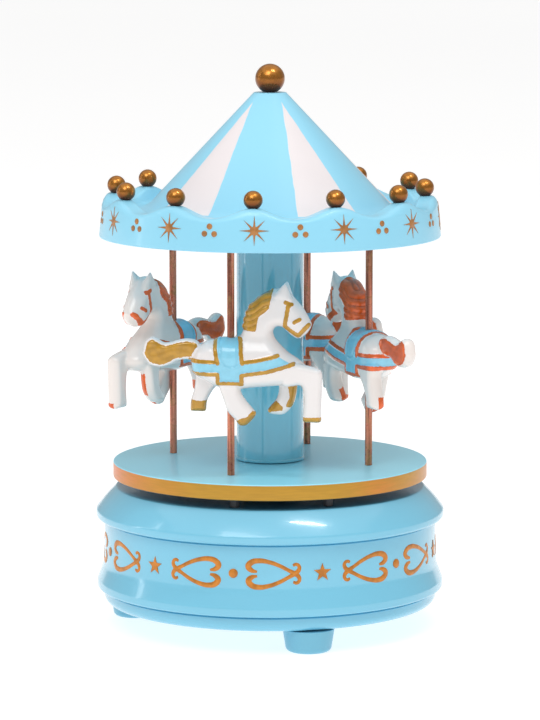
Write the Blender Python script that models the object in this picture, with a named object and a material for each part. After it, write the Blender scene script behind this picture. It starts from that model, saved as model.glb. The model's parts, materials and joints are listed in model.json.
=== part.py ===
"""Wind-up carousel music box: a round base with the movement inside, a turntable
with four horses on poles, and a cone canopy on a centre column.

Units are metres, +Z is up, and the origin is on the axis where the feet stand.
Angles around the axis are measured from the front, -Y, towards +X.
"""

import math

import bmesh
import bpy
from mathutils import Matrix, Vector

# ---------------------------------------------------------------- driving sizes
GAP = 0.0003                    # clearance between pieces that touch

FOOT_COUNT = 3
FOOT_INSET = 0.0100             # feet's centres inside the base's radius
FOOT_HEIGHT = 0.0068
FOOT_TOP_RADIUS = 0.0077
FOOT_BOTTOM_RADIUS = 0.0066
FOOT_ANGLE = math.radians(15.4)
SCREW_RADIUS = 0.0012
SCREW_HEAD_RADIUS = 0.0025
SCREW_HEAD_HEIGHT = 0.0017

BASE_RADIUS = 0.0525            # outside of the upper bead
BASE_HEIGHT = 0.0353            # from the underside of the shell to its deck
WAIST_STEP = 0.0025             # how far the waist sits inside the upper bead
LOWER_BEAD_HEIGHT = 0.0066      # height of the lower bead's crest over the underside
SHELL_WALL = 0.0022
PLATE_THICKNESS = 0.0020
PLATE_INSET = 0.0065            # base plate's edge inside the upper bead's radius
LEDGE_WIDTH = 0.0030            # shell's ledge over the base plate's edge

TURNTABLE_RADIUS = 0.0473
TURNTABLE_THICKNESS = 0.0048
TURNTABLE_LIFT = 0.0029         # shadow gap between the deck and the turntable
SPINDLE_RADIUS = 0.0030
BUSH_RADIUS = 0.0079
PAD_INSET = 0.0048              # glide pads' centres inside the turntable's radius
PAD_RADIUS = 0.0014
PAD_ANGLES = (-14.0, 23.5, 180.0)           # degrees from the front

COLUMN_HEIGHT = 0.0675
COLUMN_RADIUS = 0.0101
COLUMN_WALL = 0.0020
POLE_COUNT = 4
POLE_CIRCLE = 0.0316
POLE_RADIUS = 0.00107
POLE_ANGLE = math.radians(-21.3)
HORSE_LIFT = 0.0148             # lowest hoof over the turntable
HORSE_TURNS = (15.3, 48.5, -7.0, -12.8)     # degrees off the direction of travel

CANOPY_RADIUS = 0.0512
CANOPY_RISE = 0.04294           # from the rim's lower edge to the cone's top
TROUGH_HEIGHT = 0.008125        # floor of the trough around the cone, over the same edge
CONE_FOOT_INSET = 0.0136        # cone's foot inside the canopy's radius
CONE_TOP_RADIUS = 0.0046
CANOPY_WALL = 0.0020
RIM_HEIGHT = 0.01075            # mean height of the scalloped rim
RIM_WIDTH = 0.0060
SCALLOP_COUNT = 12
SCALLOP_WAVE = 0.00155
CEILING_THICKNESS = 0.0016
BALL_RADIUS = 0.00278
FINIAL_RADIUS = 0.00433
BALL_ANGLE = math.radians(-6.0)

BARREL_RADIUS = 0.0130
BARREL_HEIGHT = 0.0095
ARBOR_RADIUS = 0.0018
CROWN_TEETH = 24
CROWN_PITCH_RADIUS = 0.01375
CYLINDER_RADIUS = 0.0065
CYLINDER_LENGTH = 0.0150
PIN_HEIGHT = 0.0006
COMB_TEETH = 18
PINION_TEETH = 8
CYLINDER_WHEEL_TEETH = 24
SECOND_PINION_TEETH = 8
SPUR_MODULE = 0.00075
WORM_WHEEL_TEETH = 10
BEDPLATE_THICKNESS = 0.0022

# ---------------------------------------------------------------- derived places
GOLDEN = (0.62, 0.33, 0.07)
BLUE = (0.45, 0.80, 0.90)
PALE_BLUE = (0.60, 0.86, 0.95)
STEEL = (0.60, 0.61, 0.63)
BRASS = (0.72, 0.52, 0.22)

SHELL_BOTTOM = FOOT_HEIGHT + GAP
DECK_TOP = SHELL_BOTTOM + BASE_HEIGHT
FOOT_CIRCLE = BASE_RADIUS - FOOT_INSET
PAD_CIRCLE = TURNTABLE_RADIUS - PAD_INSET
PLATE_RADIUS = BASE_RADIUS - PLATE_INSET
LEDGE_RADIUS = PLATE_RADIUS - LEDGE_WIDTH
PLATE_TOP = SHELL_BOTTOM + PLATE_THICKNESS
LEDGE_BOTTOM = PLATE_TOP + GAP
BEDPLATE_BOTTOM = PLATE_TOP + GAP
BEDPLATE_TOP = BEDPLATE_BOTTOM + BEDPLATE_THICKNESS
POST_BOTTOM = BEDPLATE_TOP + GAP
TURNTABLE_BOTTOM = DECK_TOP + TURNTABLE_LIFT
TURNTABLE_TOP = TURNTABLE_BOTTOM + TURNTABLE_THICKNESS
COLUMN_BOTTOM = TURNTABLE_TOP + GAP
COLUMN_TOP = COLUMN_BOTTOM + COLUMN_HEIGHT
CEILING_BOTTOM = COLUMN_TOP + GAP
CEILING_TOP = CEILING_BOTTOM + CEILING_THICKNESS
CANOPY_BOTTOM = COLUMN_TOP
CONE_TOP = CANOPY_BOTTOM + CANOPY_RISE
RIM_TOP = CANOPY_BOTTOM + RIM_HEIGHT
RIM_OUTER = CANOPY_RADIUS - 0.0010
RIM_INNER = RIM_OUTER - RIM_WIDTH
CONE_FOOT_RADIUS = CANOPY_RADIUS - CONE_FOOT_INSET
CONE_SLOPE = (CANOPY_RISE - TROUGH_HEIGHT) / (CONE_FOOT_RADIUS - CONE_TOP_RADIUS)

BARREL_BOTTOM = POST_BOTTOM + GAP
BARREL_TOP = BARREL_BOTTOM + BARREL_HEIGHT
CROWN_BOTTOM = BARREL_TOP + GAP
CROWN_DISC = 0.0016
CROWN_TOOTH = 0.0014
CROWN_FACE = 0.0012             # half width of the toothed face
CROWN_PITCH_PLANE = CROWN_BOTTOM + CROWN_DISC + 0.55 * CROWN_TOOTH
PINION_PITCH_RADIUS = CROWN_PITCH_RADIUS * PINION_TEETH / CROWN_TEETH
CYLINDER_AXIS = CROWN_PITCH_PLANE + PINION_PITCH_RADIUS
INNER_POST_START = CROWN_PITCH_RADIUS + CROWN_FACE + 0.0009
INNER_POST_END = INNER_POST_START + 0.0012
CYLINDER_START = INNER_POST_END + 0.00095
CYLINDER_END = CYLINDER_START + CYLINDER_LENGTH
OUTER_POST_START = CYLINDER_END + 0.0009
POST_THICKNESS = 0.0016
WHEEL_START = OUTER_POST_START + POST_THICKNESS + 0.0010
WHEEL_WIDTH = 0.0018
CYLINDER_ARBOR_RADIUS = 0.0010
SECOND_ARBOR_RADIUS = 0.0008
SECOND_AXIS_Y = -(0.5 * SPUR_MODULE * (CYLINDER_WHEEL_TEETH + SECOND_PINION_TEETH) + 0.0001)
BRACKET_START = CYLINDER_START + 0.0010
WORM_X = BRACKET_START + 0.0060
WORM_WHEEL_PITCH_RADIUS = 0.5 * SPUR_MODULE * WORM_WHEEL_TEETH
WORM_PITCH_RADIUS = 0.0015
WORM_Y = SECOND_AXIS_Y - WORM_WHEEL_PITCH_RADIUS - WORM_PITCH_RADIUS
WORM_LEAD = math.pi * SPUR_MODULE
COMB_TIP = CYLINDER_RADIUS + PIN_HEIGHT + 0.0004
COMB_ROOT = COMB_TIP + 0.0065
COMB_BACK = COMB_ROOT + 0.0070
BEDPLATE_LEFT = -(2 * BARREL_RADIUS)
BEDPLATE_RIGHT = OUTER_POST_START + POST_THICKNESS + 0.0015
BEDPLATE_SCREWS = ((BEDPLATE_LEFT + 0.005, 0.0), (CYLINDER_END - 0.002, 0.009))


# ---------------------------------------------------------------- mesh helpers
def polar(radius, angle, height=0.0):
    """Point at an angle measured from the front, -Y, towards +X."""
    return Vector((radius * math.sin(angle), -radius * math.cos(angle), height))


def material(name, colour, roughness, metallic):
    finish = bpy.data.materials.new(name)
    finish.use_nodes = True
    shader = finish.node_tree.nodes["Principled BSDF"]
    shader.inputs["Base Color"].default_value = (*colour, 1.0)
    shader.inputs["Roughness"].default_value = roughness
    shader.inputs["Metallic"].default_value = metallic
    finish.diffuse_color = (*colour, 1.0)
    return finish


def make_object(name, shape, colour, roughness=0.4, metallic=0.0, matrix=None, parent=None):
    """Turn a bmesh into a named object with its own material."""
    mesh = bpy.data.meshes.new(name)
    shape.to_mesh(mesh)
    shape.free()
    mesh.shade_smooth()
    mesh.set_sharp_from_angle(angle=math.radians(35))
    mesh.materials.append(material(name, colour, roughness, metallic))
    piece = bpy.data.objects.new(name, mesh)
    bpy.context.scene.collection.objects.link(piece)
    piece.parent = parent
    if matrix is not None:
        piece.matrix_basis = matrix
    return piece


def joint_empty(name, location):
    """Empty on a joint's axis, which carries the pieces that turn about it."""
    empty = bpy.data.objects.new(name, None)
    empty.location = location
    bpy.context.scene.collection.objects.link(empty)
    return empty


def fillet(previous, corner, following, radius, steps=3):
    """Arc of the given radius that rounds one corner of a profile."""
    point = Vector(corner)
    to_previous = (Vector(previous) - point).normalized()
    to_following = (Vector(following) - point).normalized()
    half_angle = 0.5 * to_previous.angle(to_following)
    reach = radius / math.tan(half_angle)
    centre = point + (to_previous + to_following).normalized() * radius / math.sin(half_angle)
    start = point + to_previous * reach - centre
    end = point + to_following * reach - centre
    arc = []
    for step in range(steps + 1):
        share = step / steps
        direction = (start * (1 - share) + end * share).normalized()
        arc.append(tuple(centre + direction * radius))
    return arc


def rounded(corners):
    """Profile through (radius, height, fillet) corners, closed end to end."""
    points = []
    for index, (radius, height, rounding) in enumerate(corners):
        if rounding == 0:
            points.append((radius, height))
            continue
        previous = corners[index - 1][:2]
        following = corners[(index + 1) % len(corners)][:2]
        points.extend(fillet(previous, (radius, height), following, rounding))
    return points


def lathe(profile, steps):
    """Turned solid. A profile that starts and ends on the axis is left open there."""
    shape = bmesh.new()
    verts = [shape.verts.new((radius, 0, height)) for radius, height in profile]
    edges = [shape.edges.new(pair) for pair in zip(verts, verts[1:])]
    if profile[0][0] > 0 or profile[-1][0] > 0:
        edges.append(shape.edges.new((verts[-1], verts[0])))
    bmesh.ops.spin(
        shape, geom=verts + edges, cent=(0, 0, 0), axis=(0, 0, 1),
        dvec=(0, 0, 0), angle=2 * math.pi, steps=steps, use_merge=True,
    )
    bmesh.ops.remove_doubles(shape, verts=shape.verts, dist=1e-7)
    bmesh.ops.dissolve_degenerate(shape, edges=shape.edges, dist=1e-8)
    bmesh.ops.recalc_face_normals(shape, faces=shape.faces)
    return shape


def rod(radius, bottom, top, steps=12):
    return lathe([(0, bottom), (radius, bottom), (radius, top), (0, top)], steps)


def tube(inner, outer, bottom, top, steps=16):
    return lathe([(inner, bottom), (outer, bottom), (outer, top), (inner, top)], steps)


def block(low, high):
    """Box between two corners."""
    shape = bmesh.new()
    bmesh.ops.create_cube(shape, size=1.0)
    size = Vector(high) - Vector(low)
    middle = (Vector(high) + Vector(low)) / 2
    bmesh.ops.scale(shape, vec=size, verts=shape.verts)
    bmesh.ops.translate(shape, vec=middle, verts=shape.verts)
    return shape


def prism(outline, bottom, top):
    """Flat outline in X and Y, extruded between two heights."""
    shape = bmesh.new()
    face = shape.faces.new([shape.verts.new((x, y, bottom)) for x, y in outline])
    raised = bmesh.ops.extrude_face_region(shape, geom=[face])
    lifted = [item for item in raised["geom"] if isinstance(item, bmesh.types.BMVert)]
    bmesh.ops.translate(shape, vec=(0, 0, top - bottom), verts=lifted)
    bmesh.ops.recalc_face_normals(shape, faces=shape.faces)
    return shape


def moved(shape, matrix):
    bmesh.ops.transform(shape, matrix=matrix, verts=shape.verts)
    return shape


def shifted(shape, x=0.0, y=0.0, z=0.0):
    return moved(shape, Matrix.Translation((x, y, z)))


def combine(shape, tools, operation):
    """Boolean of a shape with each tool in turn. The shapes given are used up."""
    scratch = []
    for part in [shape, *tools]:
        mesh = bpy.data.meshes.new("scratch")
        part.to_mesh(mesh)
        part.free()
        holder = bpy.data.objects.new("scratch", mesh)
        bpy.context.scene.collection.objects.link(holder)
        scratch.append(holder)
    for tool in scratch[1:]:
        cut = scratch[0].modifiers.new("cut", "BOOLEAN")
        cut.operation = operation
        cut.object = tool
    graph = bpy.context.evaluated_depsgraph_get()
    result = bpy.data.meshes.new_from_object(scratch[0].evaluated_get(graph))
    joined = bmesh.new()
    joined.from_mesh(result)
    for holder in scratch:
        mesh = holder.data
        bpy.data.objects.remove(holder)
        bpy.data.meshes.remove(mesh)
    bpy.data.meshes.remove(result)
    bmesh.ops.remove_doubles(joined, verts=joined.verts, dist=2e-7)
    bmesh.ops.dissolve_degenerate(joined, edges=joined.edges, dist=2e-7)
    bmesh.ops.triangulate(joined, faces=[face for face in joined.faces if len(face.verts) > 4])
    return joined


ALONG_X = Matrix.Rotation(math.pi / 2, 4, "Y")     # turns +Z to +X and +X to -Z


def gear(teeth, root_radius, tip_radius, bore, width, tip_width, root_width, first=0.0):
    """Spur gear from z = 0 to its width, with straight-sided teeth. The first tooth is centred
    on the given angle from +X."""
    ring = []
    for tooth in range(teeth):
        middle = first + 2 * math.pi * tooth / teeth
        root_half = 0.5 * root_width / root_radius
        tip_half = 0.5 * tip_width / tip_radius
        corners = ((-root_half, root_radius), (-tip_half, tip_radius),
                   (tip_half, tip_radius), (root_half, root_radius))
        ring.extend((middle + offset, radius) for offset, radius in corners)
    shape = bmesh.new()
    loops = []
    for height in (0.0, width):
        for at_bore in (False, True):
            loops.append([
                shape.verts.new((
                    (bore if at_bore else radius) * math.cos(angle),
                    (bore if at_bore else radius) * math.sin(angle),
                    height,
                ))
                for angle, radius in ring
            ])
    low_outer, low_inner, high_outer, high_inner = loops
    count = len(ring)
    for near, far in ((low_outer, high_outer), (high_outer, high_inner),
                      (high_inner, low_inner), (low_inner, low_outer)):
        for index in range(count):
            nxt = (index + 1) % count
            shape.faces.new((near[index], near[nxt], far[nxt], far[index]))
    bmesh.ops.recalc_face_normals(shape, faces=shape.faces)
    return shape


def loft(sections, sides):
    """Limb along X and Z through (x, z, half width, half depth) sections with closed ends."""
    shape = bmesh.new()
    rings = []
    for index, (x, z, half_width, half_depth) in enumerate(sections):
        before = sections[max(index - 1, 0)]
        after = sections[min(index + 1, len(sections) - 1)]
        run = Vector((after[0] - before[0], 0, after[1] - before[1])).normalized()
        up = Vector((-run.z, 0, run.x))
        ring = []
        for side in range(sides):
            angle = 2 * math.pi * side / sides
            offset = Vector((0, half_width * math.cos(angle), 0)) + up * half_depth * math.sin(angle)
            ring.append(shape.verts.new(Vector((x, 0, z)) + offset))
        rings.append(ring)
    for near, far in zip(rings, rings[1:]):
        for side in range(sides):
            nxt = (side + 1) % sides
            shape.faces.new((near[side], near[nxt], far[nxt], far[side]))
    shape.faces.new(rings[0])
    shape.faces.new(rings[-1])
    bmesh.ops.recalc_face_normals(shape, faces=shape.faces)
    return shape


# ---------------------------------------------------------------- feet and base
def foot_places():
    for index in range(FOOT_COUNT):
        yield polar(FOOT_CIRCLE, FOOT_ANGLE + 2 * math.pi * index / FOOT_COUNT)


def build_feet():
    """Rubber-like feet, each with a counterbore that hides its screw."""
    counterbore = 0.0032
    head_space = SCREW_HEAD_RADIUS + 0.0005
    hole = SCREW_RADIUS + GAP
    for index, place in enumerate(foot_places(), start=1):
        profile = rounded([
            (head_space, 0.0, 0),
            (FOOT_BOTTOM_RADIUS, 0.0, 0.0012),
            (FOOT_TOP_RADIUS, FOOT_HEIGHT, 0),
            (hole, FOOT_HEIGHT, 0),
            (hole, counterbore, 0),
            (head_space, counterbore, 0),
        ])
        make_object(f"foot_{index}", lathe(profile, 16), PALE_BLUE, 0.45,
                    matrix=Matrix.Translation(place))
        head_bottom = counterbore - GAP - SCREW_HEAD_HEIGHT
        screw = lathe([
            (0, head_bottom), (SCREW_HEAD_RADIUS, head_bottom),
            (SCREW_HEAD_RADIUS, counterbore - GAP), (SCREW_RADIUS, counterbore - GAP),
            (SCREW_RADIUS, PLATE_TOP + 0.0039), (0, PLATE_TOP + 0.0039),
        ], 10)
        make_object(f"foot_screw_{index}", screw, STEEL, 0.35, 1.0,
                    matrix=Matrix.Translation(place))


def build_base_shell():
    """Moulded base: two beads, a waist between them, the deck on top, and bosses inside."""
    waist = BASE_RADIUS - WAIST_STEP
    crest = SHELL_BOTTOM + LOWER_BEAD_HEIGHT
    groove = DECK_TOP - 0.0094
    opening = PLATE_RADIUS + GAP
    inner = waist - SHELL_WALL - 0.0002
    deck_bottom = DECK_TOP - SHELL_WALL
    profile = rounded([
        (opening, SHELL_BOTTOM, 0),
        (waist + 0.0001, SHELL_BOTTOM, 0.0026),
        (waist + 0.0001, crest - 0.0018, 0),
        (BASE_RADIUS - 0.0003, crest - 0.0018, 0.0012),
        (BASE_RADIUS - 0.0003, crest + 0.0014, 0.0020),
        (waist + 0.0003, crest + 0.0054, 0),
        (waist, crest + 0.0104, 0),
        (waist + 0.0001, groove, 0),
        (BASE_RADIUS, groove, 0.0012),
        (BASE_RADIUS, groove + 0.0026, 0.0012),
        (BASE_RADIUS - 0.0064, DECK_TOP, 0.0008),
        (BUSH_RADIUS + GAP, DECK_TOP, 0),
        (BUSH_RADIUS + GAP, deck_bottom, 0),
        (inner - 0.0026, deck_bottom, 0),
        (inner, deck_bottom - 0.0028, 0),
        (inner, LEDGE_BOTTOM + 0.0016, 0),
        (LEDGE_RADIUS, LEDGE_BOTTOM + 0.0016, 0),
        (LEDGE_RADIUS, LEDGE_BOTTOM, 0),
        (opening, LEDGE_BOTTOM, 0),
    ])
    shell = lathe(profile, 48)
    bosses = [shifted(rod(0.0032, LEDGE_BOTTOM, LEDGE_BOTTOM + 0.0045), *place)
              for place in foot_places()]
    shell = combine(shell, bosses, "UNION")
    holes = [shifted(rod(SCREW_RADIUS + GAP, SHELL_BOTTOM - 0.002, LEDGE_BOTTOM + 0.006, 10), *place)
             for place in foot_places()]
    make_object("base_shell", combine(shell, holes, "DIFFERENCE"), BLUE, 0.35)


def build_base_plate():
    """Bottom plate, with holes for the feet's screws, the movement's screws and the key."""
    plate = lathe([(ARBOR_RADIUS + GAP, SHELL_BOTTOM), (PLATE_RADIUS, SHELL_BOTTOM),
                   (PLATE_RADIUS, PLATE_TOP), (ARBOR_RADIUS + GAP, PLATE_TOP)], 40)
    places = list(foot_places()) + [Vector((x, y, 0)) for x, y in BEDPLATE_SCREWS]
    holes = [shifted(rod(SCREW_RADIUS + GAP, SHELL_BOTTOM - 0.001, PLATE_TOP + 0.001, 10), *place)
             for place in places]
    make_object("base_plate", combine(plate, holes, "DIFFERENCE"), PALE_BLUE, 0.5)


def build_deck_fittings():
    """Bush that guides the spindle, and the pads that the turntable glides over."""
    bore = SPINDLE_RADIUS + GAP
    flange_bottom = DECK_TOP + GAP
    flange_top = flange_bottom + 0.0010
    bush = lathe([
        (bore, DECK_TOP - SHELL_WALL - 0.0012), (BUSH_RADIUS, DECK_TOP - SHELL_WALL - 0.0012),
        (BUSH_RADIUS, flange_bottom), (BUSH_RADIUS + 0.0021, flange_bottom),
        (BUSH_RADIUS + 0.0021, flange_top), (bore, flange_top),
    ], 24)
    make_object("spindle_bush", bush, BRASS, 0.3, 1.0)
    for index, angle in enumerate(PAD_ANGLES, start=1):
        place = polar(PAD_CIRCLE, math.radians(angle))
        pad = rod(PAD_RADIUS, DECK_TOP + GAP, TURNTABLE_BOTTOM - GAP, 10)
        make_object(f"glide_pad_{index}", pad, (0.12, 0.12, 0.13), 0.5,
                    matrix=Matrix.Translation(place))


# ---------------------------------------------------------------- fixed movement parts
def build_bedplate():
    """Plate under the movement. A corner that would reach the shell's ledge is cut off square."""
    reach = LEDGE_RADIUS - GAP
    flat = min(COMB_BACK, math.sqrt(reach ** 2 - BEDPLATE_RIGHT ** 2))
    corner = min(BEDPLATE_RIGHT, math.sqrt(reach ** 2 - COMB_BACK ** 2))
    outline = [(BEDPLATE_LEFT, -COMB_BACK), (corner, -COMB_BACK)]
    if flat < COMB_BACK:
        outline += [(BEDPLATE_RIGHT, -flat), (BEDPLATE_RIGHT, flat)]
    outline += [(corner, COMB_BACK), (BEDPLATE_LEFT, COMB_BACK)]
    plate = prism(outline, BEDPLATE_BOTTOM, BEDPLATE_TOP)
    holes = [shifted(rod(SCREW_RADIUS + GAP, BEDPLATE_BOTTOM - 0.001, BEDPLATE_TOP + 0.001, 10), x, y)
             for x, y in BEDPLATE_SCREWS]
    holes.append(rod(ARBOR_RADIUS + GAP, BEDPLATE_BOTTOM - 0.001, BEDPLATE_TOP + 0.001))
    make_object("bedplate", combine(plate, holes, "DIFFERENCE"), STEEL, 0.3, 1.0)
    for index, (x, y) in enumerate(BEDPLATE_SCREWS, start=1):
        head_top = SHELL_BOTTOM - GAP
        screw = lathe([
            (0, head_top - SCREW_HEAD_HEIGHT), (SCREW_HEAD_RADIUS, head_top - SCREW_HEAD_HEIGHT),
            (SCREW_HEAD_RADIUS, head_top), (SCREW_RADIUS, head_top),
            (SCREW_RADIUS, BEDPLATE_TOP + 0.0008), (0, BEDPLATE_TOP + 0.0008),
        ], 10)
        make_object(f"bedplate_screw_{index}", screw, STEEL, 0.35, 1.0,
                    matrix=Matrix.Translation((x, y, 0)))


def along_x_hole(radius, start, end, y, z):
    """Cutter for a bore along X."""
    return shifted(moved(rod(radius, 0, end - start), ALONG_X), start, y, z)


def build_posts():
    """Upright plates that carry the cylinder, the second arbor and the governor."""
    post_top = CYLINDER_AXIS + 0.0038
    inner = block((INNER_POST_START, -0.004, POST_BOTTOM), (INNER_POST_END, 0.004, post_top))
    bore = CYLINDER_ARBOR_RADIUS + GAP
    hole = along_x_hole(bore, INNER_POST_START - 0.001, INNER_POST_END + 0.001, 0, CYLINDER_AXIS)
    make_object("inner_bearing_post", combine(inner, [hole], "DIFFERENCE"), BRASS, 0.35, 1.0)

    outer_end = OUTER_POST_START + POST_THICKNESS
    outer = block((OUTER_POST_START, SECOND_AXIS_Y - 0.0034, POST_BOTTOM), (outer_end, 0.004, post_top))
    holes = [
        along_x_hole(bore, OUTER_POST_START - 0.001, outer_end + 0.001, 0, CYLINDER_AXIS),
        along_x_hole(SECOND_ARBOR_RADIUS + GAP, OUTER_POST_START - 0.001, outer_end + 0.001,
                     SECOND_AXIS_Y, CYLINDER_AXIS),
    ]
    make_object("outer_bearing_post", combine(outer, holes, "DIFFERENCE"), BRASS, 0.35, 1.0)

    # The governor's bracket is a C seen from the side, with an arm at each end of the shaft.
    arm_end = WORM_X + 0.0034
    top = governor_top() + GAP + 0.0014
    web_end = BRACKET_START + 0.0012
    low_arm = governor_bottom() - GAP - 0.0014
    corners = [
        (BRACKET_START, POST_BOTTOM), (web_end, POST_BOTTOM), (web_end, low_arm),
        (arm_end, low_arm), (arm_end, governor_bottom() - GAP),
        (web_end, governor_bottom() - GAP), (web_end, governor_top() + GAP),
        (arm_end, governor_top() + GAP), (arm_end, top), (BRACKET_START, top),
    ]
    bracket = prism([(x, -z) for x, z in corners], WORM_Y - 0.0032, SECOND_AXIS_Y + 0.0030)
    bracket = moved(bracket, Matrix.Rotation(-math.pi / 2, 4, "X"))
    make_object("governor_bracket", bracket, BRASS, 0.35, 1.0)


def governor_bottom():
    return CYLINDER_AXIS - 0.0113


def governor_top():
    return CYLINDER_AXIS + 0.0045


def build_comb():
    """Tuned steel comb on its block, with two screws."""
    pitch = (CYLINDER_LENGTH - 0.0004) / COMB_TEETH
    start = CYLINDER_START + 0.0002
    slot = 0.22 * pitch
    outline = [(start + CYLINDER_LENGTH - 0.0004, COMB_BACK), (start, COMB_BACK)]
    for tooth in range(COMB_TEETH):
        left = start + tooth * pitch + slot / 2
        right = left + pitch - slot
        outline.extend([(left, COMB_ROOT), (left, COMB_TIP), (right, COMB_TIP), (right, COMB_ROOT)])
    comb_bottom = CYLINDER_AXIS - 0.0006
    comb_top = comb_bottom + 0.0012
    comb = prism(outline, comb_bottom, comb_top)
    screw_y = COMB_ROOT + 0.0036
    screw_places = [(CYLINDER_START + share * CYLINDER_LENGTH, screw_y) for share in (0.22, 0.78)]
    hole_radius = 0.0008 + GAP
    holes = [shifted(rod(hole_radius, comb_bottom - 0.001, comb_top + 0.001, 10), x, y)
             for x, y in screw_places]
    make_object("comb", combine(comb, holes, "DIFFERENCE"), STEEL, 0.25, 1.0)

    block_top = comb_bottom - GAP
    body = block((CYLINDER_START, COMB_ROOT + GAP, POST_BOTTOM), (CYLINDER_END, COMB_BACK, block_top))
    holes = [shifted(rod(hole_radius, block_top - 0.006, block_top + 0.001, 10), x, y)
             for x, y in screw_places]
    make_object("comb_block", combine(body, holes, "DIFFERENCE"), (0.45, 0.46, 0.48), 0.5, 1.0)
    for index, (x, y) in enumerate(screw_places, start=1):
        head = comb_top + GAP
        screw = lathe([
            (0, block_top - 0.005), (0.0008, block_top - 0.005), (0.0008, head),
            (0.0016, head), (0.0016, head + 0.0012), (0, head + 0.0012),
        ], 10)
        make_object(f"comb_screw_{index}", screw, STEEL, 0.35, 1.0,
                    matrix=Matrix.Translation((x, y, 0)))


# ---------------------------------------------------------------- winding key
def build_winding(parent):
    """Key under the base and the arbor that it turns inside the spring barrel."""
    key_top = SHELL_BOTTOM - GAP
    hub_bottom = 0.0010
    bore_bottom = hub_bottom + 0.0016
    hub = rod(0.0034, hub_bottom, key_top, 16)
    wings = block((-0.0140, -0.0009, hub_bottom + 0.0003), (0.0140, 0.0009, key_top - 0.0007))
    key = combine(hub, [wings], "UNION")
    key = combine(key, [rod(ARBOR_RADIUS + GAP, bore_bottom, key_top + 0.001)], "DIFFERENCE")
    make_object("winding_key", key, STEEL, 0.3, 1.0, parent=parent)
    arbor_top = BARREL_TOP - 0.0010 - GAP
    make_object("winding_arbor", rod(ARBOR_RADIUS, bore_bottom + GAP, arbor_top), STEEL, 0.3, 1.0,
                parent=parent)


# ---------------------------------------------------------------- turning group
def build_barrel(parent):
    """Spring barrel, open below, with the mainspring coiled inside it."""
    wall = 0.0010
    barrel = lathe([
        (0, BARREL_TOP), (BARREL_RADIUS, BARREL_TOP), (BARREL_RADIUS, BARREL_BOTTOM),
        (BARREL_RADIUS - wall, BARREL_BOTTOM), (BARREL_RADIUS - wall, BARREL_TOP - wall),
        (0, BARREL_TOP - wall),
    ], 32)
    make_object("spring_barrel", barrel, BRASS, 0.3, 1.0, parent=parent)
    inner = ARBOR_RADIUS + GAP
    outer = BARREL_RADIUS - wall - GAP
    make_object("mainspring", spiral_strip(inner, outer, 0.0005, 4, BARREL_BOTTOM + 0.0008,
                                           BARREL_TOP - wall - 0.0005), (0.25, 0.27, 0.32), 0.3, 1.0,
                parent=parent)


def spiral_strip(inner, outer, thickness, turns, bottom, top):
    """Flat strip wound as a spiral between two radii."""
    per_turn = 14
    count = per_turn * turns
    path = []
    for step in range(count + 1):
        radius = inner + (outer - thickness - inner) * step / count
        path.append((radius, 2 * math.pi * step / per_turn))
    outline = [(radius * math.cos(angle), radius * math.sin(angle)) for radius, angle in path]
    outline += [((radius + thickness) * math.cos(angle), (radius + thickness) * math.sin(angle))
                for radius, angle in reversed(path)]
    return prism(outline, bottom, top)


def build_crown_wheel(parent):
    """Wheel whose teeth stand up from its face, meshing with the cylinder's pinion."""
    inner = SPINDLE_RADIUS + GAP
    face_inner = CROWN_PITCH_RADIUS - CROWN_FACE
    face_outer = CROWN_PITCH_RADIUS + CROWN_FACE
    disc_top = CROWN_BOTTOM + CROWN_DISC
    pitch_angle = 2 * math.pi / CROWN_TEETH
    tooth_angle = 0.30 * pitch_angle
    shape = bmesh.new()
    loop = [(inner, CROWN_BOTTOM), (face_outer, CROWN_BOTTOM), (face_outer, disc_top),
            (face_inner, disc_top), (inner, disc_top)]
    columns = []
    for tooth in range(CROWN_TEETH):
        middle = (tooth + 0.5) * pitch_angle
        for angle in (middle - tooth_angle / 2, middle + tooth_angle / 2):
            columns.append([shape.verts.new((radius * math.cos(angle), radius * math.sin(angle), z))
                            for radius, z in loop])
    teeth = []
    for index, column in enumerate(columns):
        following = columns[(index + 1) % len(columns)]
        for row in range(len(loop)):
            nxt = (row + 1) % len(loop)
            face = shape.faces.new((column[row], column[nxt], following[nxt], following[row]))
            if row == 2 and index % 2 == 0:
                teeth.append(face)
    raised = bmesh.ops.extrude_discrete_faces(shape, faces=teeth)
    bmesh.ops.delete(shape, geom=[face for face in teeth if face.is_valid], context="FACES_ONLY")
    tips = {vert for face in raised["faces"] for vert in face.verts}
    bmesh.ops.translate(shape, vec=(0, 0, CROWN_TOOTH), verts=list(tips))
    bmesh.ops.recalc_face_normals(shape, faces=shape.faces)
    make_object("crown_wheel", shape, BRASS, 0.3, 1.0, parent=parent)


def build_spindle(parent):
    """Shaft from the crown wheel up through the bush to the turntable."""
    flange_bottom = CROWN_BOTTOM + CROWN_DISC + GAP
    spindle = lathe([
        (0, CROWN_BOTTOM), (SPINDLE_RADIUS, CROWN_BOTTOM), (SPINDLE_RADIUS, flange_bottom),
        (2 * SPINDLE_RADIUS, flange_bottom), (2 * SPINDLE_RADIUS, flange_bottom + 0.0012),
        (SPINDLE_RADIUS, flange_bottom + 0.0012), (SPINDLE_RADIUS, TURNTABLE_TOP),
        (0, TURNTABLE_TOP),
    ], 20)
    make_object("spindle", spindle, STEEL, 0.25, 1.0, parent=parent)


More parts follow.
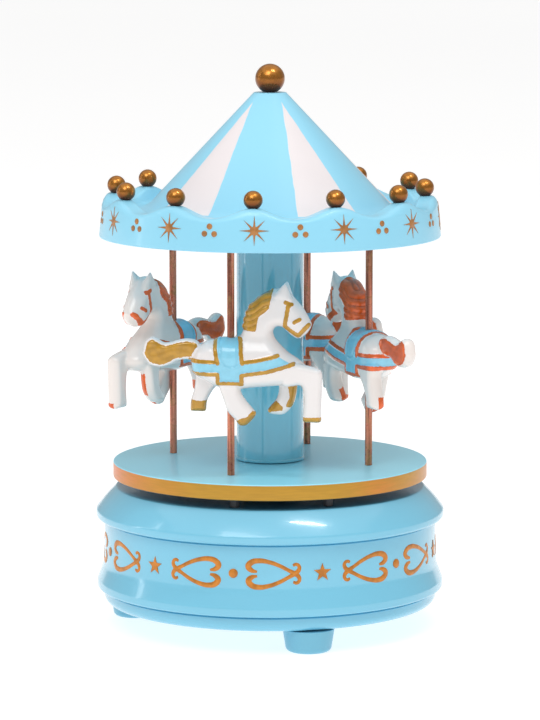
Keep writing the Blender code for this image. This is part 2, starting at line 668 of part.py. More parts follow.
def build_turntable(parent):
    bore = SPINDLE_RADIUS + GAP
    hub_bottom = DECK_TOP + 0.0010 + 2 * GAP
    edge = 0.0003
    profile = [
        (bore, hub_bottom), (BUSH_RADIUS, hub_bottom), (BUSH_RADIUS, TURNTABLE_BOTTOM),
        (TURNTABLE_RADIUS - edge, TURNTABLE_BOTTOM), (TURNTABLE_RADIUS, TURNTABLE_BOTTOM + edge),
        (TURNTABLE_RADIUS, TURNTABLE_TOP - edge), (TURNTABLE_RADIUS - edge, TURNTABLE_TOP),
        (bore, TURNTABLE_TOP),
    ]
    make_object("turntable", lathe(profile, 48), BLUE, 0.2, parent=parent)


def pole_angles():
    for index in range(POLE_COUNT):
        yield POLE_ANGLE + 2 * math.pi * index / POLE_COUNT


def build_column_and_poles(parent):
    column = tube(COLUMN_RADIUS - COLUMN_WALL, COLUMN_RADIUS, COLUMN_BOTTOM, COLUMN_TOP, 28)
    make_object("column", column, (0.15, 0.41, 0.54), 0.2, parent=parent)
    for index, angle in enumerate(pole_angles(), start=1):
        make_object(f"pole_{index}", rod(POLE_RADIUS, COLUMN_BOTTOM, COLUMN_TOP, 10),
                    (0.55, 0.22, 0.12), 0.3, 1.0,
                    matrix=Matrix.Translation(polar(POLE_CIRCLE, angle)), parent=parent)


def horse_shape():
    """Galloping horse facing +X with the pole's bore at its origin. Its outer side is -Y,
    and z = 0 is the sole of its lowest hoof."""
    torso = loft([
        (-0.0113, 0.0195, 0.0016, 0.0022), (-0.0096, 0.0192, 0.0042, 0.0048),
        (-0.0050, 0.0186, 0.0056, 0.0068), (0.0020, 0.0183, 0.0057, 0.0072),
        (0.0090, 0.0183, 0.0055, 0.0070), (0.0150, 0.0172, 0.0050, 0.0060),
        (0.0195, 0.0162, 0.0040, 0.0042), (0.0218, 0.0158, 0.0024, 0.0024),
    ], 12)
    neck = loft([
        (0.0095, 0.0200, 0.0043, 0.0060), (0.0083, 0.0250, 0.0037, 0.0052),
        (0.0082, 0.0295, 0.0032, 0.0045), (0.0092, 0.0340, 0.0030, 0.0046),
        (0.0110, 0.0373, 0.0026, 0.0034), (0.0120, 0.0393, 0.0014, 0.0014),
    ], 10)
    head = loft([
        (0.0100, 0.0360, 0.0024, 0.0028), (0.0135, 0.0350, 0.0033, 0.0042),
        (0.0165, 0.0332, 0.0032, 0.0045), (0.0195, 0.0308, 0.0027, 0.0036),
        (0.0217, 0.0287, 0.0023, 0.0028), (0.0229, 0.0278, 0.0015, 0.0017),
    ], 10)
    tail = loft([
        (-0.0085, 0.0218, 0.0014, 0.0022), (-0.0130, 0.0220, 0.0019, 0.0031),
        (-0.0180, 0.0210, 0.0021, 0.0034), (-0.0220, 0.0214, 0.0021, 0.0041),
        (-0.0248, 0.0218, 0.0016, 0.0030), (-0.0260, 0.0216, 0.0007, 0.0013),
    ], 8)
    side = 0.0033
    legs = {
        -side: (
            [(0.0200, 0.0157, 0.0023, 0.0030), (0.0238, 0.0142, 0.0022, 0.0026),
             (0.0246, 0.0100, 0.0019, 0.0020), (0.0241, 0.0055, 0.0018, 0.0018),
             (0.0240, 0.0017, 0.0021, 0.0022)],
            [(-0.0018, 0.0140, 0.0024, 0.0034), (0.0002, 0.0092, 0.0021, 0.0024),
             (0.0026, 0.0050, 0.0018, 0.0019), (0.0044, 0.0018, 0.0020, 0.0021)],
        ),
        side: (
            [(0.0158, 0.0140, 0.0022, 0.0028), (0.0162, 0.0096, 0.0020, 0.0022),
             (0.0142, 0.0060, 0.0018, 0.0018), (0.0127, 0.0036, 0.0020, 0.0021)],
            [(-0.0070, 0.0155, 0.0024, 0.0036), (-0.0083, 0.0106, 0.0022, 0.0026),
             (-0.0094, 0.0070, 0.0018, 0.0020), (-0.0100, 0.0045, 0.0021, 0.0022)],
        ),
    }
    extras = [neck, head, tail]
    for offset, limbs in legs.items():
        extras.extend(shifted(loft(limb, 8), 0, offset, 0) for limb in limbs)
    for offset in (-0.0024, 0.0024):
        ear = loft([(0.0150, 0.0375, 0.0011, 0.0013), (0.0156, 0.0421, 0.0003, 0.0004)], 6)
        extras.append(shifted(ear, 0, offset, 0))
    return combine(combine(torso, extras, "UNION"),
                   [rod(POLE_RADIUS + GAP, 0.0, 0.05)], "DIFFERENCE")


def build_horses(parent):
    shape = horse_shape()
    height = TURNTABLE_TOP + HORSE_LIFT
    for index, (angle, turn) in enumerate(zip(pole_angles(), HORSE_TURNS), start=1):
        heading = Matrix.Rotation(angle + math.radians(turn), 4, "Z")
        placed = Matrix.Translation(polar(POLE_CIRCLE, angle, height)) @ heading
        make_object(f"horse_{index}", shape.copy(), (0.90, 0.92, 0.92), 0.3, matrix=placed,
                    parent=parent)
    shape.free()


# ---------------------------------------------------------------- canopy
def canopy_profile():
    """Half section from the cone's top, down its outside, over the rim and back up inside."""
    foot_height = CANOPY_BOTTOM + TROUGH_HEIGHT
    drop = CANOPY_WALL * math.sqrt(1 + CONE_SLOPE ** 2)
    skirt = CANOPY_RADIUS - CANOPY_WALL - 0.0002
    trough_inside = foot_height - CANOPY_WALL
    cone_inside = CONE_TOP_RADIUS + (CONE_TOP - drop - trough_inside) / CONE_SLOPE
    return [
        (0, CONE_TOP), (CONE_TOP_RADIUS, CONE_TOP), (CONE_FOOT_RADIUS, foot_height),
        (RIM_INNER - 0.0006, foot_height), (RIM_INNER, foot_height + 0.0006),
        (RIM_INNER + 0.0006, RIM_TOP - 0.0006), (RIM_INNER + 0.0016, RIM_TOP),
        (RIM_OUTER - 0.0016, RIM_TOP), (RIM_OUTER - 0.0004, RIM_TOP - 0.0007),
        (RIM_OUTER, RIM_TOP - 0.0022), (CANOPY_RADIUS - 0.0004, CANOPY_BOTTOM + 0.0060),
        (CANOPY_RADIUS, CANOPY_BOTTOM + 0.0005), (CANOPY_RADIUS - 0.0003, CANOPY_BOTTOM),
        (skirt, CANOPY_BOTTOM), (skirt, CEILING_TOP + GAP), (skirt - 0.0020, CEILING_TOP + GAP),
        (skirt - 0.0030, trough_inside), (cone_inside, trough_inside),
        (CONE_TOP_RADIUS, CONE_TOP - drop), (0, CONE_TOP - drop),
    ]


def build_canopy(parent):
    """Cone and rim in one shell. The rim's top rises and falls, a crest under each ball."""
    shell = lathe(canopy_profile(), 6 * SCALLOP_COUNT)
    for vert in shell.verts:
        radius = math.hypot(vert.co.x, vert.co.y)
        if radius > RIM_INNER + 0.0003 and vert.co.z > RIM_TOP - 0.0012:
            angle = math.atan2(vert.co.x, -vert.co.y) - BALL_ANGLE
            vert.co.z += SCALLOP_WAVE * math.cos(SCALLOP_COUNT * angle)
    make_object("canopy", shell, PALE_BLUE, 0.4, parent=parent)
    ceiling_radius = CANOPY_RADIUS - CANOPY_WALL - 0.0002 - GAP
    ceiling = rod(ceiling_radius, CEILING_BOTTOM, CEILING_TOP, 48)
    make_object("canopy_ceiling", ceiling, PALE_BLUE, 0.4, parent=parent)


def seated_ball(radius, centre, seat, segments, rings):
    """Ball with a flat where it stands on its seat."""
    shape = bmesh.new()
    bmesh.ops.create_uvsphere(shape, u_segments=segments, v_segments=rings, radius=radius)
    for vert in shape.verts:
        vert.co.z = max(vert.co.z, seat - centre)
    bmesh.ops.dissolve_degenerate(shape, edges=shape.edges, dist=1e-6)
    return shape


def build_balls(parent):
    seat = RIM_TOP + SCALLOP_WAVE + GAP
    centre = seat + 0.80 * BALL_RADIUS
    circle = (RIM_INNER + RIM_OUTER) / 2 - 0.0008
    for index in range(SCALLOP_COUNT):
        place = polar(circle, BALL_ANGLE + 2 * math.pi * index / SCALLOP_COUNT, centre)
        make_object(f"rim_ball_{index + 1}", seated_ball(BALL_RADIUS, centre, seat, 12, 7),
                    GOLDEN, 0.25, 1.0, matrix=Matrix.Translation(place), parent=parent)
    seat = CONE_TOP + GAP
    centre = seat + 0.96 * FINIAL_RADIUS
    make_object("finial", seated_ball(FINIAL_RADIUS, centre, seat, 16, 10), GOLDEN, 0.25, 1.0,
                matrix=Matrix.Translation((0, 0, centre)), parent=parent)


# ---------------------------------------------------------------- cylinder and governor train
def build_cylinder_group(parent):
    """Pinned cylinder, its arbor with the pinion, and the wheel that drives the train."""
    arbor = moved(rod(CYLINDER_ARBOR_RADIUS, CROWN_PITCH_RADIUS - CROWN_FACE,
                      WHEEL_START + WHEEL_WIDTH + 0.0008), ALONG_X)
    pinion = gear(PINION_TEETH, PINION_PITCH_RADIUS - 0.0011, PINION_PITCH_RADIUS + 0.00055, 0.0006,
                  2 * CROWN_FACE, 0.0007, 0.0012)
    pinion = shifted(moved(pinion, ALONG_X), CROWN_PITCH_RADIUS - CROWN_FACE)
    make_object("pinion_arbor", combine(arbor, [pinion], "UNION"), STEEL, 0.3, 1.0, parent=parent)

    rows = 9
    columns = 20
    barrel = lathe(
        [(CYLINDER_ARBOR_RADIUS + GAP, 0)]
        + [(CYLINDER_RADIUS, CYLINDER_LENGTH * row / rows) for row in range(rows + 1)]
        + [(CYLINDER_ARBOR_RADIUS + GAP, CYLINDER_LENGTH)], columns)
    wall = [face for face in barrel.faces
            if all(math.hypot(v.co.x, v.co.y) > 0.9 * CYLINDER_RADIUS for v in face.verts)]
    pinned = []
    for face in wall:
        middle = face.calc_center_median()
        row = int(middle.z / CYLINDER_LENGTH * rows)
        column = int((math.atan2(middle.y, middle.x) / (2 * math.pi) % 1.0) * columns)
        if (3 * column + 5 * row) % 7 == 0:
            pinned.append(face)
    bmesh.ops.inset_individual(barrel, faces=pinned, thickness=0.0006)
    for face in pinned:
        push = face.normal * PIN_HEIGHT
        raised = bmesh.ops.extrude_discrete_faces(barrel, faces=[face])
        bmesh.ops.translate(barrel, vec=push, verts=raised["faces"][0].verts)
    bmesh.ops.recalc_face_normals(barrel, faces=barrel.faces)
    barrel = shifted(moved(barrel, ALONG_X), CYLINDER_START)
    make_object("pinned_cylinder", barrel, BRASS, 0.3, 1.0, parent=parent)

    pitch_radius = 0.5 * SPUR_MODULE * CYLINDER_WHEEL_TEETH
    wheel = gear(CYLINDER_WHEEL_TEETH, pitch_radius - 0.0009, pitch_radius + 0.00055,
                 CYLINDER_ARBOR_RADIUS + GAP, WHEEL_WIDTH, 0.0006, 0.0011)
    wheel = shifted(moved(wheel, ALONG_X), WHEEL_START)
    make_object("cylinder_wheel", wheel, BRASS, 0.3, 1.0, parent=parent)


def build_second_group(parent):
    """Second arbor, whose pinion the cylinder wheel drives and whose wheel drives the worm."""
    start = BRACKET_START + 0.0012 + GAP
    arbor = moved(rod(SECOND_ARBOR_RADIUS, start, WHEEL_START + WHEEL_WIDTH + 0.0006), ALONG_X)
    pitch_radius = 0.5 * SPUR_MODULE * SECOND_PINION_TEETH
    pinion = gear(SECOND_PINION_TEETH, pitch_radius - 0.0009, pitch_radius + 0.00055, 0.0005,
                  WHEEL_WIDTH, 0.0006, 0.0010, first=math.pi / SECOND_PINION_TEETH)
    pinion = shifted(moved(pinion, ALONG_X), WHEEL_START)
    make_object("second_arbor", combine(arbor, [pinion], "UNION"), STEEL, 0.3, 1.0, parent=parent)
    width = 0.0016
    wheel = gear(WORM_WHEEL_TEETH, WORM_WHEEL_PITCH_RADIUS - 0.00055, WORM_WHEEL_PITCH_RADIUS + 0.0002,
                 SECOND_ARBOR_RADIUS + GAP, width, 0.0005, 0.0010, first=-math.pi / 2)
    wheel = shifted(moved(wheel, ALONG_X), WORM_X - width / 2)
    make_object("worm_wheel", wheel, BRASS, 0.3, 1.0, parent=parent)


def helical_thread(root, crest, lead, turns, middle, start_angle):
    """Thread of a right-handed worm, as a band with a trapezoid section along a helix."""
    per_turn = 12
    count = int(per_turn * turns)
    root_half = 0.00040
    crest_half = 0.00022
    shape = bmesh.new()
    sections = []
    for step in range(count + 1):
        share = step / per_turn - turns / 2
        angle = start_angle + 2 * math.pi * share
        height = middle + lead * share
        corners = ((root, -root_half), (crest, -crest_half), (crest, crest_half), (root, root_half))
        sections.append([
            shape.verts.new((radius * math.cos(angle), radius * math.sin(angle), height + offset))
            for radius, offset in corners
        ])
    for near, far in zip(sections, sections[1:]):
        for side in range(4):
            nxt = (side + 1) % 4
            shape.faces.new((near[side], near[nxt], far[nxt], far[side]))
    shape.faces.new(sections[0])
    shape.faces.new(sections[-1])
    bmesh.ops.recalc_face_normals(shape, faces=shape.faces)
    return shape


def build_governor_group(parent):
    """Worm and its air brake, which keep the tune at an even speed."""
    core = 0.0010
    shaft = rod(core, governor_bottom() - CYLINDER_AXIS, governor_top() - CYLINDER_AXIS)
    # Facing the wheel, at +Y, the thread sits half a lead away from the wheel's tooth.
    thread = helical_thread(0.7 * core, WORM_PITCH_RADIUS + 0.0002, WORM_LEAD, 2.0,
                            WORM_LEAD / 2, math.pi / 2)
    make_object("governor_worm", combine(shaft, [thread], "UNION"), STEEL, 0.3, 1.0, parent=parent)
    low = governor_bottom() + 0.0008 - CYLINDER_AXIS
    high = low + 0.0050
    hub = rod(0.0019, low, high, 12)
    blades = block((-0.0042, -0.0003, low + 0.0003), (0.0042, 0.0003, high - 0.0003))
    fan = combine(hub, [blades], "UNION")
    fan = combine(fan, [rod(core + GAP, low - 0.001, high + 0.001)], "DIFFERENCE")
    make_object("governor_fan", fan, BRASS, 0.35, 1.0, parent=parent)


def main():
    for item in list(bpy.data.objects):
        bpy.data.objects.remove(item)
    build_feet()
    build_base_shell()
    build_base_plate()
    build_deck_fittings()
    build_bedplate()
    build_posts()
    build_comb()
    build_winding(joint_empty("key_axis", (0, 0, 0)))
    turntable_axis = joint_empty("turntable_axis", (0, 0, 0))
    build_barrel(turntable_axis)
    build_crown_wheel(turntable_axis)
    build_spindle(turntable_axis)
    build_turntable(turntable_axis)
    build_column_and_poles(turntable_axis)
    build_horses(turntable_axis)
    build_canopy(turntable_axis)
    build_balls(turntable_axis)
    build_cylinder_group(joint_empty("cylinder_axis", (0, 0, CYLINDER_AXIS)))
    build_second_group(joint_empty("second_axis", (0, SECOND_AXIS_Y, CYLINDER_AXIS)))
    build_governor_group(joint_empty("governor_axis", (WORM_X, WORM_Y, CYLINDER_AXIS)))
    bpy.context.view_layer.update()


main()
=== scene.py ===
"""Wind-up carousel music box: the painted shell, carousel and horses, made over its frame.

Lengths are metres and +Z is up. Angles around the turning axis are measured from the
front, -Y, towards +X. Profiles and outlines are written in millimetres and scaled.
"""

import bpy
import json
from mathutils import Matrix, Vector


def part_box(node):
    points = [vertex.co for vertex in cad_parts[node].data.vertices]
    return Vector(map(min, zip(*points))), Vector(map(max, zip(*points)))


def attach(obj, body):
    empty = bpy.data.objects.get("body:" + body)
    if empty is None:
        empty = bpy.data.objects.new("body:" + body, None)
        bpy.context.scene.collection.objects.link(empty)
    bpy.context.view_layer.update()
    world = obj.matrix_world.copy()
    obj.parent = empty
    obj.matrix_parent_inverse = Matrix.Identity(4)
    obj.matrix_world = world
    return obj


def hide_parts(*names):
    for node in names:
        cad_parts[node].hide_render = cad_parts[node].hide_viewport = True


bl_info = {
    "name": "Carousel Music Box",
    "version": (1, 0, 0),
    "blender": (4, 5, 0),
    "location": "3D View > Sidebar > Music Box",
    "description": "Builds a wind-up carousel music box with four horses under a cone canopy",
    "category": "Add Mesh",
}

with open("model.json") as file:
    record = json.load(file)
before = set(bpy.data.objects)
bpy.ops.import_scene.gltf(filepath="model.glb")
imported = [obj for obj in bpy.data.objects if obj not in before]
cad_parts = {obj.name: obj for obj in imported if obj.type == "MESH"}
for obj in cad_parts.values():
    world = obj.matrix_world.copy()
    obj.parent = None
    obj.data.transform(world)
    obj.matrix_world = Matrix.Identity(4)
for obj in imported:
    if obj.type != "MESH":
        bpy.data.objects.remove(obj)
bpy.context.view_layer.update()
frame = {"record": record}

import json
import math

import bpy
import numpy as np
from bpy.props import FloatProperty, FloatVectorProperty, IntProperty, PointerProperty
from mathutils import Matrix, Vector

MM = 0.001
FULL_TURN = 2 * math.pi
BALL_COUNT = 12
STAR_COUNT = 6
STRIPE_COUNT = 5

BASE_LOW, BASE_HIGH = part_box("base_shell")
TABLE_LOW, TABLE_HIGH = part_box("turntable")
COLUMN_LOW, COLUMN_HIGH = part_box("column")
CANOPY_LOW, CANOPY_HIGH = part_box("canopy")
FINIAL_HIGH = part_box("finial")[1]


def srgb(red, green, blue):
    """Linear colour from the 0 to 255 values that a paint chart gives."""
    values = []
    for value in (red, green, blue):
        share = value / 255
        values.append(share / 12.92 if share <= 0.04045 else ((share + 0.055) / 1.055) ** 2.4)
    return tuple(values)


# ---------------------------------------------------------------- sizes and colours
def length(name, description, default):
    return FloatProperty(name=name, description=description, default=default, min=0.0,
                         unit="LENGTH", subtype="DISTANCE", precision=5)


def angle(name, description, degrees):
    return FloatProperty(name=name, description=description, default=math.radians(degrees),
                         subtype="ANGLE")


def paint(name, description, red, green, blue):
    return FloatVectorProperty(name=name, description=description, default=srgb(red, green, blue),
                               min=0.0, max=1.0, size=3, subtype="COLOR")


class MusicBoxSizes(bpy.types.PropertyGroup):
    """Sizes that shape the pieces."""
    base_radius: length("Base radius", "Outside of the upper bead", BASE_HIGH.x)
    table_radius: length("Turntable radius", "Outside of the gold edge", TABLE_HIGH.x)
    column_radius: length("Column radius", "Outside of the centre column", COLUMN_HIGH.x)
    canopy_radius: length("Canopy radius", "Lower edge of the rim", CANOPY_HIGH.x)
    finial_radius: length("Finial radius", "Ball on the cone's top", 0.00443)
    ball_radius: length("Ball radius", "Small balls on the rim", 0.00278)
    ball_circle: length("Ball circle", "Distance of the small balls from the axis", 0.04635)
    pole_radius: length("Pole radius", "Copper poles through the horses", 0.00107)
    scallop_rise: length("Scallop rise", "From a valley of the rim to a crest", 0.0031)
    relief: length("Relief", "Height of the painted ornament over the wall", 0.00022)
    horse_skin: length("Horse detail", "Size of the finest detail on a horse", 0.00032)
    steps: IntProperty(name="Steps around", description="Segments of a large turned piece",
                       default=192, min=24)
    ball_angle: angle("Ball angle", "First small ball, from the front", -6.0)
    star_angle: angle("Star angle", "First star on the waist, from the front", 17.7)
    stripe_angle: angle("Stripe angle", "First white stripe, from the front", 28.0)


class MusicBoxColours(bpy.types.PropertyGroup):
    """Paint colours."""
    shell: paint("Shell blue", "Base and feet", 126, 203, 231)
    table: paint("Turntable blue", "Top of the turntable", 158, 232, 251)
    column: paint("Column blue", "Centre column", 116, 202, 226)
    canopy: paint("Canopy blue", "Cone and rim", 152, 222, 248)
    stripe: paint("Stripe white", "Stripes on the cone", 240, 232, 233)
    horse: paint("Horse white", "Body of a horse", 243, 237, 235)
    cream: paint("Horse cream", "Body of a horse with copper trim", 246, 236, 230)
    saddle: paint("Saddle blue", "Saddle and bands", 146, 216, 241)
    gold: paint("Gold", "Trim of the front horse", 198, 146, 40)
    # Painted reflection: the other horses' trim is the gold paint coloured orange for the reflection
    # it shows.
    orange_reflection_gold: paint("Copper", "Trim of the other horses", 240, 104, 40)
    ornament: paint("Ornament", "Hearts and stars on the base", 212, 130, 36)
    ball: paint("Ball gold", "Balls and finial", 196, 128, 48)
    edge: paint("Edge gold", "Edge of the turntable", 200, 150, 44)


def settings(context):
    """Sizes and colours of the scene."""
    return context.scene.music_box_sizes, context.scene.music_box_colours


# ---------------------------------------------------------------- working with pieces
def put_down():
    """Leave edit mode and let go of everything."""
    if bpy.context.object and bpy.context.object.mode != "OBJECT":
        bpy.ops.object.mode_set(mode="OBJECT")
    bpy.ops.object.select_all(action="DESELECT")


def pick(*pieces):
    put_down()
    for piece in pieces:
        piece.select_set(True)
    bpy.context.view_layer.objects.active = pieces[0]


def edit(piece):
    """Enter edit mode with all of a piece selected."""
    pick(piece)
    bpy.ops.object.mode_set(mode="EDIT")
    bpy.ops.mesh.select_all(action="SELECT")


def finish_piece(piece, name, body, slot, finish, *nodes, smooth=40):
    """Name a piece, set its place into its mesh, and give it its body and material."""
    pick(piece)
    bpy.ops.object.transform_apply(location=True, rotation=True, scale=True)
    bpy.ops.object.shade_smooth_by_angle(angle=math.radians(smooth))
    piece.name = name
    piece.data.name = name
    piece.data.materials.clear()
    piece.data.materials.append(finish)
    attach(piece, body)
    if nodes:
        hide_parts(*nodes)
    put_down()
    return piece


def polar(radius, turn, height=0.0):
    """Point at an angle measured from the front, -Y, towards +X."""
    return Vector((radius * math.sin(turn), -radius * math.cos(turn), height))


def rounded(corners, steps=6):
    """Profile in metres through (radius, height, fillet) corners given in millimetres."""
    points = []
    for index, (radius, height, rounding) in enumerate(corners):
        corner = Vector((radius, height))
        if rounding == 0:
            points.append(corner * MM)
            continue
        before = Vector(corners[index - 1][:2]) - corner
        after = Vector(corners[(index + 1) % len(corners)][:2]) - corner
        half = 0.5 * before.angle(after)
        centre = corner + (before.normalized() + after.normalized()).normalized() * (
            rounding / math.sin(half))
        reach = rounding / math.tan(half)
        start = corner + before.normalized() * reach - centre
        end = corner + after.normalized() * reach - centre
        for step in range(steps + 1):
            share = step / steps
            arm = (start * (1 - share) + end * share).normalized() * rounding
            points.append((centre + arm) * MM)
    return points


def turned(profile, steps, centre=Vector((0, 0, 0))):
    """Piece spun from a profile, by extruding one vertex along it."""
    put_down()
    start = centre + Vector((profile[0].x, 0, profile[0].y))
    bpy.ops.mesh.primitive_plane_add(size=MM, location=start)
    piece = bpy.context.object
    edit(piece)
    bpy.ops.mesh.merge(type="CENTER")
    for before, after in zip(profile, profile[1:]):
        step = (after.x - before.x, 0, after.y - before.y)
        bpy.ops.mesh.extrude_region_move(TRANSFORM_OT_translate={"value": step})
    bpy.ops.mesh.select_all(action="SELECT")
    bpy.ops.mesh.spin(steps=steps, angle=FULL_TURN, center=centre, axis=(0, 0, 1))
    tidy(piece)
    return piece


def tidy(piece):
    """Set a piece's place into its mesh, merge doubles and turn the faces outwards."""
    pick(piece)
    bpy.ops.object.transform_apply(location=True, rotation=True, scale=True)
    edit(piece)
    bpy.ops.mesh.remove_doubles(threshold=2e-6)
    bpy.ops.mesh.normals_make_consistent(inside=False)
    put_down()


def copies_around(piece, count):
    """Copy a piece around the turning axis, each copy with its own mesh."""
    made = [piece]
    for index in range(1, count):
        pick(piece)
        bpy.ops.object.duplicate(linked=False)
        copy = bpy.context.object
        copy.matrix_world = Matrix.Rotation(FULL_TURN * index / count, 4, "Z") @ copy.matrix_world
        pick(copy)
        bpy.ops.object.transform_apply(location=True, rotation=True, scale=True)
        made.append(copy)
    return made


def joined(pieces):
    pick(*pieces)
    if len(pieces) > 1:
        bpy.ops.object.join()
    return bpy.context.object


def wrapped(piece, turn, radius_at):
    """Lay a flat pattern, X along and Z up with its front at -Y, on a round wall."""
    pick(piece)
    bpy.ops.object.transform_apply(location=True, rotation=True, scale=True)
    for vertex in piece.data.vertices:
        along, depth, height = vertex.co
        radius = radius_at(height)
        vertex.co = polar(radius - depth, turn + along / radius, height)
    return piece


def badge(points, outer, inner, rise, across, up):
    """Flat star or dot facing -Y, with a rounded front edge. A dot has inner equal to outer."""
    put_down()
    bpy.ops.mesh.primitive_circle_add(vertices=points * 2, radius=outer, fill_type="NGON",
                                      location=(across, 0, up), rotation=(math.pi / 2, 0, 0))
    piece = bpy.context.object
    if inner < outer:
        edit(piece)
        bpy.ops.mesh.select_mode(type="VERT")
        bpy.ops.mesh.select_all(action="DESELECT")
        bpy.ops.object.mode_set(mode="OBJECT")
        for vertex in piece.data.vertices:
            vertex.select = vertex.index % 2 == 1
        bpy.ops.object.mode_set(mode="EDIT")
        share = inner / outer
        bpy.ops.transform.resize(value=(share, share, share), center_override=(across, 0, up))
    edit(piece)
    bpy.ops.transform.translate(value=(0, rise, 0))
    bpy.ops.mesh.extrude_region_move(TRANSFORM_OT_translate={"value": (0, -1.6 * rise, 0)})
    bpy.ops.mesh.extrude_region_move(TRANSFORM_OT_translate={"value": (0, -0.4 * rise, 0)})
    bpy.ops.transform.resize(value=(0.90, 1, 0.90), center_override=(across, 0, up))
    tidy(piece)
    return piece


def stroke(points, widths, rise):
    """Flat painted stroke facing -Y, along a smooth curve of (across, up) points."""
    put_down()
    bpy.ops.curve.primitive_bezier_curve_add()
    piece = bpy.context.object
    line = piece.data
    spline = line.splines[0]
    spline.bezier_points.add(len(points) - len(spline.bezier_points))
    for knot, (across, up), width in zip(spline.bezier_points, points, widths):
        knot.co = (across * MM, 0, up * MM)
        knot.handle_left_type = "AUTO"
        knot.handle_right_type = "AUTO"
        knot.radius = width * MM
    line.bevel_depth = 1.0
    line.bevel_resolution = 3
    line.resolution_u = 6
    line.use_fill_caps = True
    pick(piece)
    bpy.ops.object.convert(target="MESH")
    piece = bpy.context.object
    flat = rise / (max(widths) * MM)
    edit(piece)
    bpy.ops.mesh.remove_doubles(threshold=1e-6)
    bpy.ops.transform.resize(value=(1, flat, 1), center_override=(0, 0, 0))
    bpy.ops.mesh.normals_make_consistent(inside=False)
    put_down()
    return piece


def mirrored_copy(piece, axis):
    """Copy turned over across a plane through the origin, with its faces outwards again."""
    pick(piece)
    bpy.ops.object.duplicate(linked=False)
    copy = bpy.context.object
    scale = [1, 1, 1]
    scale["XYZ".index(axis)] = -1
    copy.matrix_world = Matrix.Diagonal((*scale, 1)) @ copy.matrix_world
    pick(copy)
    bpy.ops.object.transform_apply(location=True, rotation=True, scale=True)
    tidy(copy)
    return copy


# ---------------------------------------------------------------- finishes
class Finish:
    """Builds one material's nodes around its Principled shader."""

    def __init__(self, name, roughness, metallic=0.0, coat=0.0, coat_roughness=0.05):
        self.material = bpy.data.materials.new(name)
        self.material.use_nodes = True
        self.tree = self.material.node_tree
        self.shader = self.tree.nodes["Principled BSDF"]
        self.shader.inputs["Roughness"].default_value = roughness
        self.shader.inputs["Metallic"].default_value = metallic
        self.shader.inputs["Coat Weight"].default_value = coat
        self.shader.inputs["Coat Roughness"].default_value = coat_roughness
        self.place = self.tree.nodes.new("ShaderNodeTexCoord").outputs["Object"]

    def link(self, output, socket):
        self.tree.links.new(output, socket)

    def set(self, socket, value):
        if hasattr(value, "is_output"):
            self.link(value, socket)
        else:
            socket.default_value = value

    def maths(self, operation, first, second=0.0):
        node = self.tree.nodes.new("ShaderNodeMath")
        node.operation = operation
        self.set(node.inputs[0], first)
        self.set(node.inputs[1], second)
        return node.outputs[0]

    def ramp(self, value, low, high, to_low=0.0, to_high=1.0):
        """Value taken from one range to another, eased between its ends."""
        node = self.tree.nodes.new("ShaderNodeMapRange")
        node.interpolation_type = "SMOOTHSTEP"
        self.set(node.inputs["Value"], value)
        node.inputs["From Min"].default_value = low
        node.inputs["From Max"].default_value = high
        node.inputs["To Min"].default_value = to_low
        node.inputs["To Max"].default_value = to_high
        return node.outputs["Result"]

    def mix(self, share, first, second):
        """Mix of two colours, each a value or another node's output."""
        node = self.tree.nodes.new("ShaderNodeMix")
        node.data_type = "RGBA"
        self.set(node.inputs["Factor"], share)
        inputs = [socket for socket in node.inputs if socket.type == "RGBA"]
        for socket, colour in zip(inputs, (first, second)):
            self.set(socket, colour if hasattr(colour, "is_output") else (*colour, 1.0))
        return [socket for socket in node.outputs if socket.type == "RGBA"][0]

    def noise(self, scale, detail=3.0, stretch=(1, 1, 1), roughness=0.5):
        """Noise in object space, with features of about 1 / scale metres."""
        mapping = self.tree.nodes.new("ShaderNodeMapping")
        mapping.inputs["Scale"].default_value = stretch
        self.link(self.place, mapping.inputs["Vector"])
        node = self.tree.nodes.new("ShaderNodeTexNoise")
        node.inputs["Scale"].default_value = scale
        node.inputs["Detail"].default_value = detail
        node.inputs["Roughness"].default_value = roughness
        self.link(mapping.outputs["Vector"], node.inputs["Vector"])
        return node.outputs["Fac"]

    def split_place(self):
        node = self.tree.nodes.new("ShaderNodeSeparateXYZ")
        self.link(self.place, node.inputs["Vector"])
        return node.outputs

    def radius(self):
        x, y, _ = self.split_place()
        squares = self.maths("ADD", self.maths("MULTIPLY", x, x), self.maths("MULTIPLY", y, y))
        return self.maths("SQRT", squares)

    def attribute(self, name):
        node = self.tree.nodes.new("ShaderNodeAttribute")
        node.attribute_name = name
        return node.outputs["Fac"]

    def colour(self, value):
        self.link(value, self.shader.inputs["Base Color"])

    def painted(self):
        """Output that now feeds the base colour."""
        return self.shader.inputs["Base Color"].links[0].from_socket

    def bump(self, height, strength, distance):
        node = self.tree.nodes.new("ShaderNodeBump")
        node.inputs["Strength"].default_value = strength
        node.inputs["Distance"].default_value = distance
        self.link(height, node.inputs["Height"])
        self.link(node.outputs["Normal"], self.shader.inputs["Normal"])

    def roughness(self, low, high, scale=90.0):
        """Uneven gloss between two roughness values."""
        self.link(self.ramp(self.noise(scale), 0.35, 0.65, low, high),
                  self.shader.inputs["Roughness"])


def shaded(colour, share):
    return tuple(channel * share for channel in colour)


def lacquer(name, colour, roughness=0.22, depth=0.93, coat=0.5):
    """Sprayed gloss paint: slow colour drift, uneven gloss and a slight orange peel."""
    finish = Finish(name, roughness, coat=coat, coat_roughness=0.06)
    drift = finish.ramp(finish.noise(24.0, 1.0), 0.2, 0.8)
    finish.colour(finish.mix(drift, shaded(colour, depth), colour))
    finish.roughness(roughness * 0.94, roughness * 1.08)
    finish.bump(finish.noise(420.0, 2.0), 0.10, 0.00025)
    return finish


